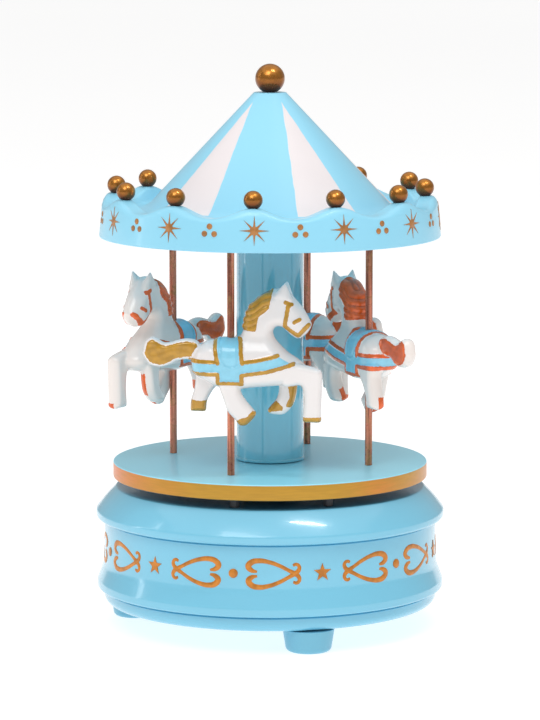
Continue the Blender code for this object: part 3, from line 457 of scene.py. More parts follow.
def gold_paint(name, colour, roughness=0.36, metallic=0.35):
    """Brushed-on metallic paint, thicker and brighter in places."""
    finish = Finish(name, roughness, metallic, coat=0.25, coat_roughness=0.2)
    flow = finish.ramp(finish.noise(420.0, 4.0, roughness=0.6), 0.32, 0.68)
    finish.colour(finish.mix(flow, shaded(colour, 0.72), shaded(colour, 1.08)))
    finish.roughness(roughness * 0.75, roughness * 1.3, 500.0)
    finish.bump(finish.noise(1500.0, 3.0), 0.22, 0.00012)
    return finish


def bare_metal(name, colour, roughness, stretch=(1, 1, 1)):
    """Brushed or turned metal with fine scratches and dulled patches."""
    finish = Finish(name, roughness, 1.0)
    grain = finish.ramp(finish.noise(1800.0, 4.0, stretch), 0.3, 0.7)
    patches = finish.ramp(finish.noise(120.0, 3.0), 0.35, 0.7)
    tone = finish.mix(grain, shaded(colour, 0.80), colour)
    finish.colour(finish.mix(patches, tone, shaded(colour, 0.70)))
    finish.roughness(roughness * 0.8, roughness * 1.5, 160.0)
    finish.bump(finish.noise(2600.0, 3.0, stretch), 0.12, 0.00008)
    return finish


def dull_plastic(name, colour, roughness=0.5):
    """Moulded plastic with a fine grain."""
    finish = Finish(name, roughness)
    grain = finish.ramp(finish.noise(1400.0, 3.0), 0.3, 0.7)
    drift = finish.ramp(finish.noise(60.0, 2.0), 0.3, 0.7)
    tone = finish.mix(drift, shaded(colour, 0.90), colour)
    finish.colour(finish.mix(grain, tone, shaded(colour, 0.95)))
    finish.roughness(roughness * 0.85, roughness * 1.15, 300.0)
    finish.bump(finish.noise(2200.0, 2.0), 0.15, 0.00008)
    return finish


def canopy_finish(colours, sizes):
    """Canopy paint: white stripes widen down the cone between fields of blue."""
    finish = lacquer("canopy_paint", colours.canopy, roughness=0.34, depth=0.94, coat=0.25)
    blue = finish.painted()
    x, y, z = finish.split_place()
    turn = finish.maths("ARCTAN2", x, finish.maths("MULTIPLY", y, -1.0))
    pitch = FULL_TURN / STRIPE_COUNT
    shifted = finish.maths("SUBTRACT", turn, sizes.stripe_angle - pitch / 2)
    within = finish.maths("FLOORED_MODULO", shifted, pitch)
    offset = finish.maths("ABSOLUTE", finish.maths("SUBTRACT", within, pitch / 2))
    radius = finish.radius()
    across = finish.maths("MULTIPLY", offset, radius)
    half = finish.maths("MULTIPLY", finish.maths("SUBTRACT", radius, 0.0075), 0.335)
    wobble = finish.ramp(finish.noise(160.0, 2.0), 0.3, 0.7, -0.00012, 0.00012)
    inside = finish.maths("ADD", finish.maths("SUBTRACT", half, across), wobble)
    stripe = finish.ramp(inside, -0.00008, 0.00012)
    on_cone = finish.ramp(radius, 0.0371, 0.0375, 1.0, 0.0)
    above = finish.ramp(z, CANOPY_LOW.z + 0.0075, CANOPY_LOW.z + 0.0083)
    mask = finish.maths("MULTIPLY", stripe, finish.maths("MULTIPLY", on_cone, above))
    cloudy = finish.ramp(finish.noise(60.0, 2.0), 0.2, 0.8)
    white = finish.mix(cloudy, shaded(colours.stripe, 0.96), colours.stripe)
    finish.colour(finish.mix(mask, blue, white))
    return finish.material


def turntable_finish(colours):
    """Blue gloss top, with gold paint brushed along the edge, turning orange towards both sides as
    painted reflection, and a dark teal underside as painted shade.
    """
    finish = lacquer("turntable_paint", colours.table, roughness=0.30, depth=0.97, coat=0.15)
    blue = finish.painted()
    x, _, z = finish.split_place()
    drift = finish.ramp(finish.noise(24.0, 2.0), 0.3, 0.7)
    # Painted reflection: the gold edge turns orange towards both sides.
    painted_side_reflection = finish.ramp(finish.maths("ABSOLUTE", x), 0.016, 0.042)
    gold = finish.mix(painted_side_reflection, colours.edge, srgb(228, 118, 52))
    gold = finish.mix(drift, shaded(colours.edge, 0.94), gold)
    streak = finish.ramp(finish.noise(900.0, 3.0, (0.2, 0.2, 2.0)), 0.3, 0.7, 0.0, 0.35)
    gold = finish.mix(streak, gold, shaded(colours.edge, 0.7))
    lip = finish.ramp(z, TABLE_HIGH.z - 0.00040, TABLE_HIGH.z - 0.00022, 1.0, 0.0)
    side = finish.ramp(finish.radius(), TABLE_HIGH.x - 0.0006, TABLE_HIGH.x - 0.0004)
    mask = finish.maths("MULTIPLY", lip, side)
    # Painted shade: the underside is coloured dark teal for the shadow in the gap over the base.
    beneath = finish.ramp(z, TABLE_HIGH.z - 0.00480, TABLE_HIGH.z - 0.00465, 1.0, 0.0)
    painted = finish.mix(mask, blue, gold)
    finish.colour(finish.mix(beneath, painted, srgb(8, 78, 104)))
    finish.link(finish.maths("MULTIPLY", mask, 0.35), finish.shader.inputs["Metallic"])
    finish.link(finish.ramp(mask, 0.0, 1.0, 0.28, 0.34), finish.shader.inputs["Roughness"])
    return finish.material


def horse_finish(name, white, saddle, trim):
    """Gloss white with blue saddle cloth and painted trim, placed by the horse's own masks, with
    painted shade in the mane's grooves.
    """
    finish = lacquer(name, white, roughness=0.20, depth=0.955, coat=0.5)
    body = finish.painted()
    brush = finish.ramp(finish.noise(520.0, 4.0), 0.3, 0.7)
    blue = finish.mix(brush, shaded(saddle, 0.92), saddle)
    gold = finish.mix(brush, shaded(trim, 0.80), shaded(trim, 1.06))
    ragged = finish.ramp(finish.noise(1300.0, 2.0), 0.3, 0.7, -0.00007, 0.00007)
    blue_mask = finish.ramp(finish.attribute("blue_paint"), 0.0, 0.00012)
    gold_mask = finish.ramp(finish.maths("ADD", finish.attribute("trim_paint"), ragged),
                            0.0, 0.00012)
    # Painted shade: the trim darkens in the grooves between the mane's locks.
    groove = finish.ramp(finish.attribute("mane_groove_shade"), 0.0, 0.0003)
    gold = finish.mix(finish.maths("MULTIPLY", groove, 0.7), gold, shaded(trim, 0.34))
    finish.colour(finish.mix(gold_mask, finish.mix(blue_mask, body, blue), gold))
    finish.link(finish.maths("MULTIPLY", gold_mask, 0.12), finish.shader.inputs["Metallic"])
    return finish.material


def ball_finish(name, colour, middle, radius):
    """Metallic paint with a bloom on top, and painted shade, dark brown, towards the seat."""
    finish = Finish(name, 0.26, 0.85, coat=0.3, coat_roughness=0.10)
    bloom = finish.ramp(finish.noise(520.0, 3.0), 0.35, 0.7)
    tone = finish.mix(bloom, shaded(colour, 0.78), shaded(colour, 1.05))
    height = finish.split_place()[2]
    # Painted shade: the ball darkens to dark brown towards its seat.
    lit = finish.ramp(height, middle - 0.75 * radius, middle + 0.55 * radius)
    finish.colour(finish.mix(lit, srgb(96, 42, 16), tone))
    finish.roughness(0.22, 0.34, 600.0)
    finish.bump(finish.noise(1500.0, 2.0), 0.08, 0.0001)
    return finish


def pole_finish():
    """Drawn tube, its orange-pink colour and dark lengthwise streaks a painted reflection on the
    metal, with patches of gold.
    """
    finish = Finish("pole_reflection_paint", 0.30, 0.22)
    streak = finish.ramp(finish.noise(1300.0, 3.0, (1.0, 1.0, 0.03)), 0.36, 0.62)
    tarnish = finish.ramp(finish.noise(260.0, 4.0), 0.45, 0.75)
    # Painted reflection: orange-pink and dark streaks along the pole stand in for reflections on its
    # metal.
    tone = finish.mix(streak, srgb(128, 68, 50), srgb(232, 138, 108))
    finish.colour(finish.mix(finish.maths("MULTIPLY", tarnish, 0.6), tone, srgb(176, 140, 78)))
    finish.roughness(0.22, 0.42, 700.0)
    finish.bump(finish.noise(2400.0, 3.0, (1.0, 1.0, 0.05)), 0.2, 0.0001)
    return finish.material


# ---------------------------------------------------------------- base
class MUSICBOX_OT_base(bpy.types.Operator):
    """Turn the base: two beads, a waist between them and the deck on top"""
    bl_idname = "music_box.base"
    bl_label = "Base"

    def execute(self, context):
        sizes, colours = settings(context)
        bead = sizes.base_radius / MM
        low = BASE_LOW.z / MM
        top = BASE_HIGH.z / MM
        bush, opening, ledge, inside = 8.2, 46.3, 43.0, 47.6
        corners = [
            # underside and lower bead, with the groove beneath it
            (opening, low, 0), (bead - 2.35, low, 2.6), (bead - 2.30, low + 4.0, 0.15),
            (bead - 3.00, low + 4.25, 0.15), (bead - 3.00, low + 4.85, 0.1),
            (bead - 0.3, low + 4.70, 0.8), (bead - 0.3, low + 7.2, 1.6),
            # waist
            (bead - 2.2, low + 12.2, 7.0), (bead - 2.55, low + 20.0, 0),
            # upper bead, with the groove beneath it, and the deck
            (bead - 2.4, top - 10.0, 0.15), (bead - 3.1, top - 9.75, 0.15),
            (bead - 3.1, top - 9.15, 0.1), (bead + 0.02, top - 9.45, 1.2),
            (bead + 0.02, top - 6.8, 1.3), (bead - 2.82, top - 3.2, 30.0), (bead - 6.1, top, 0.9),
            (bush, top, 0.2), (bush, top - 2.2, 0),
            # inside, down to the ledge over the base plate
            (44.9, top - 2.2, 1.0), (inside, top - 5.0, 0), (inside, low + 3.9, 0),
            (ledge, low + 3.9, 0), (ledge, low + 2.3, 0), (opening, low + 2.3, 0),
            (opening, low, 0),
        ]
        base = turned(rounded(corners, 7), sizes.steps)
        paint_job = lacquer("base_paint", colours.shell, 0.20, 0.95, 0.6)
        finish_piece(base, "base_body", "base", "base_shell", paint_job.material, "base_shell")
        return {"FINISHED"}


def waist_radius(height):
    """Outside of the base's waist at a height."""
    low, top = BASE_LOW.z, BASE_HIGH.z
    inset = np.interp(height, (low + 0.0122, low + 0.0200, top - 0.0094), (2.2, 2.55, 2.4))
    return BASE_HIGH.x - inset * MM


HEART = ((0.4, 2.7, 0.42), (-0.4, 3.1, 0.50), (-1.2, 2.4, 0.56), (-1.1, 1.1, 0.66), (0.0, 0.0, 0.72),
         (1.7, -1.2, 0.56), (4.2, -2.8, 0.60), (7.0, -4.0, 0.66), (9.6, -4.4, 0.78),
         (11.5, -3.8, 0.90), (12.3, -2.4, 0.96), (11.5, -1.2, 0.74), (10.0, -0.7, 0.36))


class MUSICBOX_OT_base_ornament(bpy.types.Operator):
    """Lay painted stars, dots and scroll hearts around the waist"""
    bl_idname = "music_box.base_ornament"
    bl_label = "Base ornament"

    def execute(self, context):
        sizes, colours = settings(context)
        middle = BASE_LOW.z + 0.0174
        apex = 8.3
        line = [(apex + 1.09 * across, 0.88 * up) for across, up, _ in HEART]
        widths = [width for _, _, width in HEART]
        upper = stroke(line, widths, sizes.relief)
        lower = mirrored_copy(upper, "Z")
        right = joined([upper, lower])
        left = mirrored_copy(right, "X")
        star = badge(5, 2.75 * MM, 1.15 * MM, sizes.relief, 0, 0)
        group = joined([right, left, star])
        edit(group)
        bpy.ops.transform.translate(value=(0, 0, middle))
        put_down()
        wrapped(group, sizes.star_angle, waist_radius)
        dot = badge(14, 1.35 * MM, 1.35 * MM, sizes.relief, 0, middle)
        wrapped(dot, sizes.star_angle + FULL_TURN / (2 * STAR_COUNT), waist_radius)
        ornament = joined(copies_around(joined([group, dot]), STAR_COUNT))
        print_paint = gold_paint("ornament_paint", colours.ornament, 0.38, 0.25)
        finish_piece(ornament, "base_ornament", "base", "base_shell", print_paint.material)
        return {"FINISHED"}


class MUSICBOX_OT_feet(bpy.types.Operator):
    """Turn one foot with its screw recess, and copy it to the three places"""
    bl_idname = "music_box.feet"
    bl_label = "Feet"

    def execute(self, context):
        shell = settings(context)[1].shell
        low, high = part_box("foot_1")
        centre = (low + high) / 2
        top = high.z / MM
        corners = [
            (3.0, 0.0, 0.2), (6.6, 0.0, 1.5), (7.65, top, 0.15), (1.6, top, 0), (1.6, 3.2, 0),
            (3.0, 3.2, 0), (3.0, 0.1, 0),
        ]
        profile = rounded(corners, 6)
        profile.append(profile[0])
        foot = turned(profile, 64, Vector((centre.x, centre.y, 0)))
        # Painted shade: the feet take a darker copy of the shell blue for the shade under the base.
        matt_shaded_paint = lacquer("foot_paint", shaded(shell, 0.86), 0.32, 0.93, 0.2)
        for index, piece in enumerate(copies_around(foot, 3), start=1):
            finish_piece(piece, f"foot_body_{index}", "base", "foot", matt_shaded_paint.material,
                         f"foot_{index}")
        return {"FINISHED"}


# ---------------------------------------------------------------- carousel
class MUSICBOX_OT_turntable(bpy.types.Operator):
    """Turn the turntable with its gold edge"""
    bl_idname = "music_box.turntable"
    bl_label = "Turntable"

    def execute(self, context):
        sizes, colours = settings(context)
        rim = sizes.table_radius / MM
        hub, top = TABLE_LOW.z / MM, TABLE_HIGH.z / MM
        under = top - 4.8
        corners = [
            (3.3, hub, 0), (7.9, hub, 0), (7.9, under, 0), (rim, under, 0.45), (rim, top, 0.4),
            (3.3, top, 0), (3.3, hub, 0),
        ]
        table = turned(rounded(corners, 6), sizes.steps)
        finish_piece(table, "turntable_disc", "carousel", "turntable",
                     turntable_finish(colours), "turntable")
        return {"FINISHED"}


class MUSICBOX_OT_column_and_poles(bpy.types.Operator):
    """Turn the centre column, darker towards its top as painted shade, and the four poles through the
    horses, painted orange-pink with dark streaks as painted reflection
    """
    bl_idname = "music_box.column_and_poles"
    bl_label = "Column and poles"

    def execute(self, context):
        sizes, colours = settings(context)
        outer = sizes.column_radius / MM
        low, top = COLUMN_LOW.z / MM, COLUMN_HIGH.z / MM
        corners = [
            (outer - 2.0, low, 0), (outer + 0.25, low, 0.1), (outer + 0.25, low + 0.6, 0.2),
            (outer, low + 0.9, 0.2), (outer, top, 0), (outer - 2.0, top, 0), (outer - 2.0, low, 0),
        ]
        column = turned(rounded(corners, 4), 128)
        glossy = lacquer("column_paint", colours.column, 0.14, 0.95, 0.7)
        coat = glossy.painted()
        # Painted shade: the column darkens towards its top, where the canopy shades it.
        upper = glossy.ramp(glossy.split_place()[2], (low + 30) * MM, (top - 12) * MM, 0.0, 0.7)
        glossy.colour(glossy.mix(upper, coat, shaded(colours.column, 0.62)))
        finish_piece(column, "centre_column", "carousel", "column", glossy.material, "column")
        tube = pole_finish()
        for index in range(1, 5):
            name = f"pole_{index}"
            low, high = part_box(name)
            centre = (low + high) / 2
            reach = sizes.pole_radius / MM
            foot = TABLE_HIGH.z / MM
            corners = [(0, foot, 0), (reach, foot, 0.15), (reach, high.z / MM, 0.15),
                       (0, high.z / MM, 0)]
            pole = turned(rounded(corners, 3), 32, Vector((centre.x, centre.y, 0)))
            finish_piece(pole, f"{name}_tube", "carousel", "pole", tube, name)
        return {"FINISHED"}


class MUSICBOX_OT_canopy(bpy.types.Operator):
    """Turn the canopy in one shell, and lift the rim's top to a crest under each ball"""
    bl_idname = "music_box.canopy"
    bl_label = "Canopy"

    def execute(self, context):
        sizes, colours = settings(context)
        low, top = CANOPY_LOW.z / MM, CANOPY_HIGH.z / MM
        edge = sizes.canopy_radius / MM
        trough = low + 8.13
        crown = low + 10.85
        corners = [
            (0, top, 0), (4.8, top, 0.6), (edge - 13.6, trough, 8.0), (edge - 7.7, trough, 0.7),
            (edge - 6.5, crown, 1.1), (edge - 1.05, crown, 2.2), (edge, low, 0.4),
            (edge - 2.2, low, 0), (edge - 2.2, low + 2.2, 0), (edge - 4.2, low + 2.2, 0),
            (edge - 5.2, low + 6.1, 0), (edge - 15.0, low + 6.1, 0), (4.6, top - 2.9, 0),
            (0, top - 2.9, 0),
        ]
        canopy = turned(rounded(corners, 8), 288)
        foot = (trough - 0.03) * MM
        valley = 1.35 * MM
        peaked = 0.06
        for vertex in canopy.data.vertices:
            radius = math.hypot(vertex.co.x, vertex.co.y)
            if radius < (edge - 8.0) * MM or vertex.co.z < foot:
                continue
            turn = BALL_COUNT * (math.atan2(vertex.co.x, -vertex.co.y) - sizes.ball_angle)
            wave = 0.5 + 0.5 * (math.cos(turn) + peaked * math.cos(2 * turn) - peaked)
            crest = valley + sizes.scallop_rise * wave
            vertex.co.z = foot + (vertex.co.z - foot) * crest / (crown * MM - foot)
        finish_piece(canopy, "canopy_shell", "carousel", "canopy",
                     canopy_finish(colours, sizes), "canopy")
        return {"FINISHED"}


def rim_radius(height):
    """Outside of the canopy's rim at a height."""
    return CANOPY_HIGH.x - 1.05 * MM * (height - CANOPY_LOW.z) / (10.85 * MM)


class MUSICBOX_OT_canopy_ornament(bpy.types.Operator):
    """Lay eight-pointed stars and groups of three dots around the rim"""
    bl_idname = "music_box.canopy_ornament"
    bl_label = "Canopy ornament"

    def execute(self, context):
        sizes = settings(context)[0]
        middle = CANOPY_LOW.z + 0.0064
        rise = sizes.relief * 0.7
        star = joined([badge(8, 4.3 * MM, 1.0 * MM, rise, 0, middle),
                       badge(12, 1.30 * MM, 1.30 * MM, rise * 1.2, 0, middle)])
        lean = math.radians(0.9)
        wrapped(star, sizes.ball_angle + lean, rim_radius)
        dots = [badge(10, 0.85 * MM, 0.85 * MM, rise, across * MM, middle + up * MM)
                for across, up in ((0.0, 1.0), (-1.5, -1.1), (1.5, -1.1))]
        between = sizes.ball_angle + FULL_TURN / (2 * BALL_COUNT) + lean
        group = wrapped(joined(dots), between, rim_radius)
        ornament = joined(copies_around(joined([star, group]), BALL_COUNT))
        print_paint = gold_paint("rim_print", srgb(184, 124, 66), 0.42, 0.15)
        finish_piece(ornament, "rim_ornament", "carousel", "canopy", print_paint.material)
        return {"FINISHED"}


def ball(radius, centre, seat, segments):
    """Ball drawn out into a short peg that stands on its seat."""
    put_down()
    bpy.ops.mesh.primitive_uv_sphere_add(segments=segments, ring_count=segments // 2,
                                         radius=radius, location=centre)
    piece = bpy.context.object
    pick(piece)
    bpy.ops.object.transform_apply(location=True, rotation=True, scale=True)
    edit(piece)
    bpy.ops.mesh.select_mode(type="FACE")
    cut = seat + 0.05 * radius
    bpy.ops.mesh.bisect(plane_co=(centre.x, centre.y, cut), plane_no=(0, 0, 1), clear_inner=True,
                        use_fill=True)
    bpy.ops.mesh.select_all(action="DESELECT")
    bpy.ops.object.mode_set(mode="OBJECT")
    for face in piece.data.polygons:
        face.select = face.normal.z < -0.999 and face.center.z < cut + 1e-6
    bpy.ops.object.mode_set(mode="EDIT")
    bpy.ops.mesh.inset(thickness=0.10 * radius)
    bpy.ops.mesh.extrude_region_move(TRANSFORM_OT_translate={"value": (0, 0, seat - cut)})
    bpy.ops.object.mode_set(mode="OBJECT")
    tidy(piece)
    return piece


class MUSICBOX_OT_balls(bpy.types.Operator):
    """Make the finial and the twelve small balls on the rim"""
    bl_idname = "music_box.balls"
    bl_label = "Balls"

    def execute(self, context):
        sizes, colours = settings(context)
        centre = Vector((0, 0, FINIAL_HIGH.z - sizes.finial_radius - 0.0003))
        finish = ball_finish("finial_paint", colours.ball, centre.z, sizes.finial_radius)
        finial = ball(sizes.finial_radius, centre, CANOPY_HIGH.z + 0.00002, 64)
        finish_piece(finial, "finial_ball", "carousel", "gold_ball", finish.material, "finial")
        low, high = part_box("rim_ball_1")
        centre = polar(sizes.ball_circle, sizes.ball_angle, high.z - sizes.ball_radius)
        finish = ball_finish("ball_paint", colours.ball, centre.z, sizes.ball_radius)
        first = ball(sizes.ball_radius, centre, low.z - 0.0006, 40)
        for index, piece in enumerate(copies_around(first, BALL_COUNT), start=1):
            finish_piece(piece, f"rim_ball_body_{index}", "carousel", "gold_ball",
                         finish.material, f"rim_ball_{index}")
        return {"FINISHED"}


# ---------------------------------------------------------------- horses
# Outlines in millimetres, forwards and up from the pole at the level of the lowest hoof.
BODY = ((-11.4, 19.5), (-11.1, 17.1), (-10.2, 14.8), (-7.5, 13.4), (-4.2, 11.6), (-1.3, 11.2),
        (2.3, 10.9), (7, 11.4), (14, 12.0), (19.8, 12.6), (22.6, 14.2), (23.2, 16.6), (20.4, 19.6),
        (16.9, 21.9), (14, 24.8), (12.8, 26.5), (12.5, 28.2), (13.4, 29.4), (15.4, 29.2),
        (17.5, 27.2), (19.8, 26.0), (22.4, 27.5), (23.7, 29.6), (23.6, 31.0), (21.5, 34.8),
        (19.8, 36.8), (18.2, 38.6), (16.8, 40.0), (14.8, 40.8), (13.1, 40.6), (12.0, 39.9),
        (9.9, 39), (7.6, 37.2), (5.6, 34.9), (4.4, 31.9), (3.8, 28.7), (2.9, 26.6), (1.8, 25.5),
        (-2.3, 25.7), (-5.2, 25.4), (-7, 25.1), (-8.7, 23.9), (-10.5, 22.1))
TAIL = ((-9.3, 24.5), (-12.2, 25.6), (-15.1, 25.3), (-19.2, 24.3), (-21.6, 25.5), (-23.3, 26.0),
        (-25.1, 24.8), (-25.7, 22.5), (-26, 21.0), (-25.1, 19.3), (-23.7, 17.8), (-20.7, 17.1),
        (-17.8, 17.9), (-15.7, 19.1), (-11.4, 19.7), (-9, 20.5))
NEAR_FORELEG = ((15.5, 19.2), (20.5, 18.9), (24.8, 18.0), (26.9, 17.0), (27.2, 15.0), (27.0, 9.0),
                (26.9, 4.5), (26.8, 1.9), (24.0, 1.7), (21.6, 1.9), (21.6, 4.4), (21.8, 8.0),
                (21.5, 11.6), (20.3, 12.6), (15.5, 12.5))
NEAR_HIND_LEG = ((-3.6, 15.0), (-3.1, 12.0), (-1.8, 8.2), (-0.5, 4.6), (1.6, 2.3), (3.0, 0.6),
                 (4.6, 0.5), (5.8, 1.3), (7.9, 4.0), (6.9, 5.6), (4.9, 8.0), (3.2, 11.0),
                 (3.0, 15.0))
FAR_FORELEG = ((13.2, 15.0), (13.9, 11.7), (13.6, 9.0), (12.6, 7.0), (10.6, 4.6), (10.9, 3.4),
               (13.2, 2.9), (15.6, 3.2), (18.0, 5.8), (19.0, 9.0), (19.3, 11.8), (19.6, 15.0))
FAR_HIND_LEG = ((-10.6, 17.0), (-10.8, 13.4), (-11.2, 10.2), (-12.1, 7.2), (-12.4, 4.4),
                (-12.1, 3.7), (-10.0, 3.6), (-7.9, 3.7), (-7.6, 5.0), (-7.3, 7.0), (-5.6, 10.1),
                (-3.8, 12.4), (-3.6, 17.0))
EAR = ((12.6, 38.0), (18.4, 36.8), (17.7, 39.4), (16.8, 41.8), (16.2, 42.5), (14.5, 40.8))
MANE = ((13.4, 41.6), (12.7, 39.8), (11.6, 34.9), (8.6, 32.4), (7.8, 28.2), (4.1, 28.5), (2.6, 29.0),
        (2.8, 33.0), (4.4, 36.6), (7.4, 39.6), (10.6, 41.6))
HOOVES = {
    -1: (((21.0, 0.0), (27.5, 0.0), (27.5, 3.5), (21.0, 3.5)),
         ((1.7, 1.8), (3.4, 2.9), (5.2, 3.3), (6.8, 5.2), (8.8, 4.4), (6.0, -0.5), (2.5, -0.5))),
    1: (((10.0, 5.6), (13.4, 7.4), (15.2, 5.6), (15.3, 4.4), (12.0, 4.0), (10.0, 3.0)),
        ((16.6, 12.2), (20.4, 12.2), (20.2, 8.0), (18.6, 4.8), (15.9, 5.6), (17.2, 8.6)),
        ((-13.0, 2.5), (-7.0, 2.5), (-7.0, 7.2), (-9.4, 7.0), (-13.0, 7.6))),
}
BRIDLE = ((16.5, 36.9), (18.1, 36.3), (17.3, 36.2), (16.2, 29.9), (20.1, 27.2), (22.9, 30.2))
EYE = ((19.0, 31.1), (20.5, 31.9))
TRIMS = (
    ((-4.3, 25.8), (-4.0, 22.5), (-3.2, 19.0)), ((3.4, 25.8), (3.6, 22.0), (4.0, 19.1)),
    ((-12.0, 19.5), (-4.4, 19.4)), ((3.9, 19.3), (9.0, 20.1), (14.2, 21.4)),
    ((-11.0, 15.8), (-3.2, 15.8), (-3.2, 13.1), (3.8, 13.1), (3.8, 15.6), (11.0, 16.6), (18.8, 18.9)),
)
CLOTH = ((-3.9, 26.5), (-3.4, 19.2), (-12.2, 19.3), (-12.2, 15.9), (-3.2, 15.9), (-3.2, 13.2),
         (3.8, 13.2), (3.8, 15.7), (11.0, 16.7), (18.4, 18.9), (14.6, 21.2), (9.0, 20.0),
         (4.0, 19.2), (3.6, 26.5))
FLAP = ((-3.6, 26.8), (-3.4, 22.5), (-2.9, 20.2), (-1.6, 18.1), (0.3, 17.3), (2.2, 17.6),
        (3.4, 18.8), (3.4, 26.8))
# Half widths of the painted lines, and the white border left around the tail's paint.
TRIM_HALF = 0.66
BRIDLE_HALF = 0.70
EYE_HALF = 0.66
TAIL_BORDER = 0.62
# Heights that part the head, the body and the legs.
HEAD_FROM = 26.5
BELLY_FROM = 12.4
LEGS_TO = 12.0
# Stands for a vertex well outside a painted area.
OUTSIDE = -5.0
# How far each painted area is raised, or the tail's is sunk.
CLOTH_RISE = 0.22
FLAP_RISE = 0.40
SEAM_DEPTH = 0.30
SEAM_INSET = 0.85
TRIM_RISE = 0.30
BRIDLE_RISE = 0.22
MANE_RISE = 0.30
LOCK_RISE = 0.40
TAIL_DEPTH = 0.36
STRAND_RISE = 0.05


def smooth_outline(points, steps=4):
    """Closed curve through the points of an outline."""
    count = len(points)
    knots = [np.array(point) for point in points]
    curve = []
    for index in range(count):
        before, here, there, after = (knots[(index + offset) % count] for offset in (-1, 0, 1, 2))
        for step in range(steps):
            t = step / steps
            curve.append(0.5 * (2 * here + (there - before) * t
                                + (2 * before - 5 * here + 4 * there - after) * t * t
                                + (3 * here - before - 3 * there + after) * t ** 3))
    return np.array(curve)


def distance_to_line(places, line, closed=False):
    """Distance of each place to a chain of straight pieces."""
    line = np.asarray(line, dtype=float)
    ends = np.roll(line, -1, axis=0) if closed else line[1:]
    starts = line if closed else line[:-1]
    nearest = np.full(len(places), np.inf)
    for start, end in zip(starts, ends):
        run = end - start
        share = np.clip(((places - start) @ run) / max(run @ run, 1e-12), 0, 1)
        offset = places - start - share[:, None] * run
        nearest = np.minimum(nearest, np.hypot(offset[:, 0], offset[:, 1]))
    return nearest


def depth_inside(places, outline):
    """Distance inside an outline, negative outside it."""
    outline = np.asarray(outline, dtype=float)
    inside = np.zeros(len(places), dtype=bool)
    for start, end in zip(outline, np.roll(outline, -1, axis=0)):
        crosses = (start[1] > places[:, 1]) != (end[1] > places[:, 1])
        rise = end[1] - start[1] if end[1] != start[1] else 1e-12
        meet = start[0] + (places[:, 1] - start[1]) / rise * (end[0] - start[0])
        inside ^= crosses & (places[:, 0] < meet)
    distance = distance_to_line(places, outline, closed=True)
    return np.where(inside, distance, -distance)


def ease(value, low, high):
    share = np.clip((value - low) / (high - low), 0, 1)
    return share * share * (3 - 2 * share)


def coordinates(piece):
    """Places of a mesh's vertices, in millimetres."""
    flat = np.empty(len(piece.data.vertices) * 3)
    piece.data.vertices.foreach_get("co", flat)
    return flat.reshape(-1, 3) / MM


def place_vertices(piece, places):
    piece.data.vertices.foreach_set("co", (places * MM).ravel())
    piece.data.update()


def remesh(piece, size):
    """Rebuild a piece as one even closed skin."""
    pick(piece)
    skin = piece.modifiers.new("skin", "REMESH")
    skin.mode = "VOXEL"
    skin.voxel_size = size
    bpy.ops.object.modifier_apply(modifier=skin.name)


def smooth_skin(piece, factor, repeats):
    pick(piece)
    soft = piece.modifiers.new("soft", "SMOOTH")
    soft.factor = factor
    soft.iterations = repeats
    bpy.ops.object.modifier_apply(modifier=soft.name)


def cushion(points, middle, width_at, edge, skin):
    """Rounded plate: an outline extruded across Y, then drawn in towards its edges."""
    outline = smooth_outline(points)
    put_down()
    bpy.ops.mesh.primitive_circle_add(vertices=len(outline), radius=0.01, fill_type="NGON",
                                      rotation=(math.pi / 2, 0, 0))
    piece = bpy.context.object
    pick(piece)
    bpy.ops.object.transform_apply(location=True, rotation=True, scale=True)
    for vertex, (along, up) in zip(piece.data.vertices, outline):
        vertex.co = (along * MM, -2 * MM, up * MM)
    edit(piece)
    bpy.ops.mesh.extrude_region_move(TRANSFORM_OT_translate={"value": (0, 4 * MM, 0)})
    tidy(piece)
    remesh(piece, skin * 1.3)
    places = coordinates(piece)
    inside = np.maximum(depth_inside(places[:, (0, 2)], outline), 0)
    crown = np.sqrt(1 - (1 - np.clip(inside / edge, 0, 1)) ** 2)
    places[:, 1] = middle + places[:, 1] / 2 * width_at(places) * crown
    place_vertices(piece, places)
    return piece


def body_width(places):
    """Half width of the body, neck and head."""
    along, up = places[:, 0], places[:, 2]
    torso = 5.7 - 1.6 * ease(-along, 5, 12) - 1.5 * ease(along, 15, 23)
    neck = 3.8 - 0.3 * ease(up, 28, 36) - 1.0 * ease(along, 18.5, 24)
    share = ease(up, 20.5, 27.0)
    return torso * (1 - share) + neck * share


def ear(side, skin):
    """Ear that narrows from half the head's width to a point at its outer edge."""
    piece = cushion(EAR, 0.0, even_width(1.9), 1.1, skin)
    places = coordinates(piece)
    climb = np.clip((places[:, 2] - 38.0) / 4.4, 0, 1)
    places[:, 1] = side * (1.8 + 1.5 * climb + places[:, 1] * (1 - 0.85 * climb))
    place_vertices(piece, places)
    return piece


def even_width(half):
    return lambda places: np.full(len(places), half)


def horse_skin_shape(skin):
    """Horse facing +X with its pole at the origin, joined from rounded plates."""
    plates = [
        cushion(BODY, 0.0, body_width, 2.9, skin),
        cushion(TAIL, 0.0, even_width(2.3), 1.6, skin),
        cushion(NEAR_FORELEG, -3.2, even_width(2.3), 1.5, skin),
        cushion(NEAR_HIND_LEG, -3.3, even_width(2.4), 1.5, skin),
        cushion(FAR_FORELEG, 3.2, even_width(2.3), 1.5, skin),
        cushion(FAR_HIND_LEG, 3.3, even_width(2.4), 1.5, skin),
        ear(-1, skin), ear(1, skin),
    ]
    horse = joined(plates)
    remesh(horse, skin)
    smooth_skin(horse, 0.5, 2)
    return horse


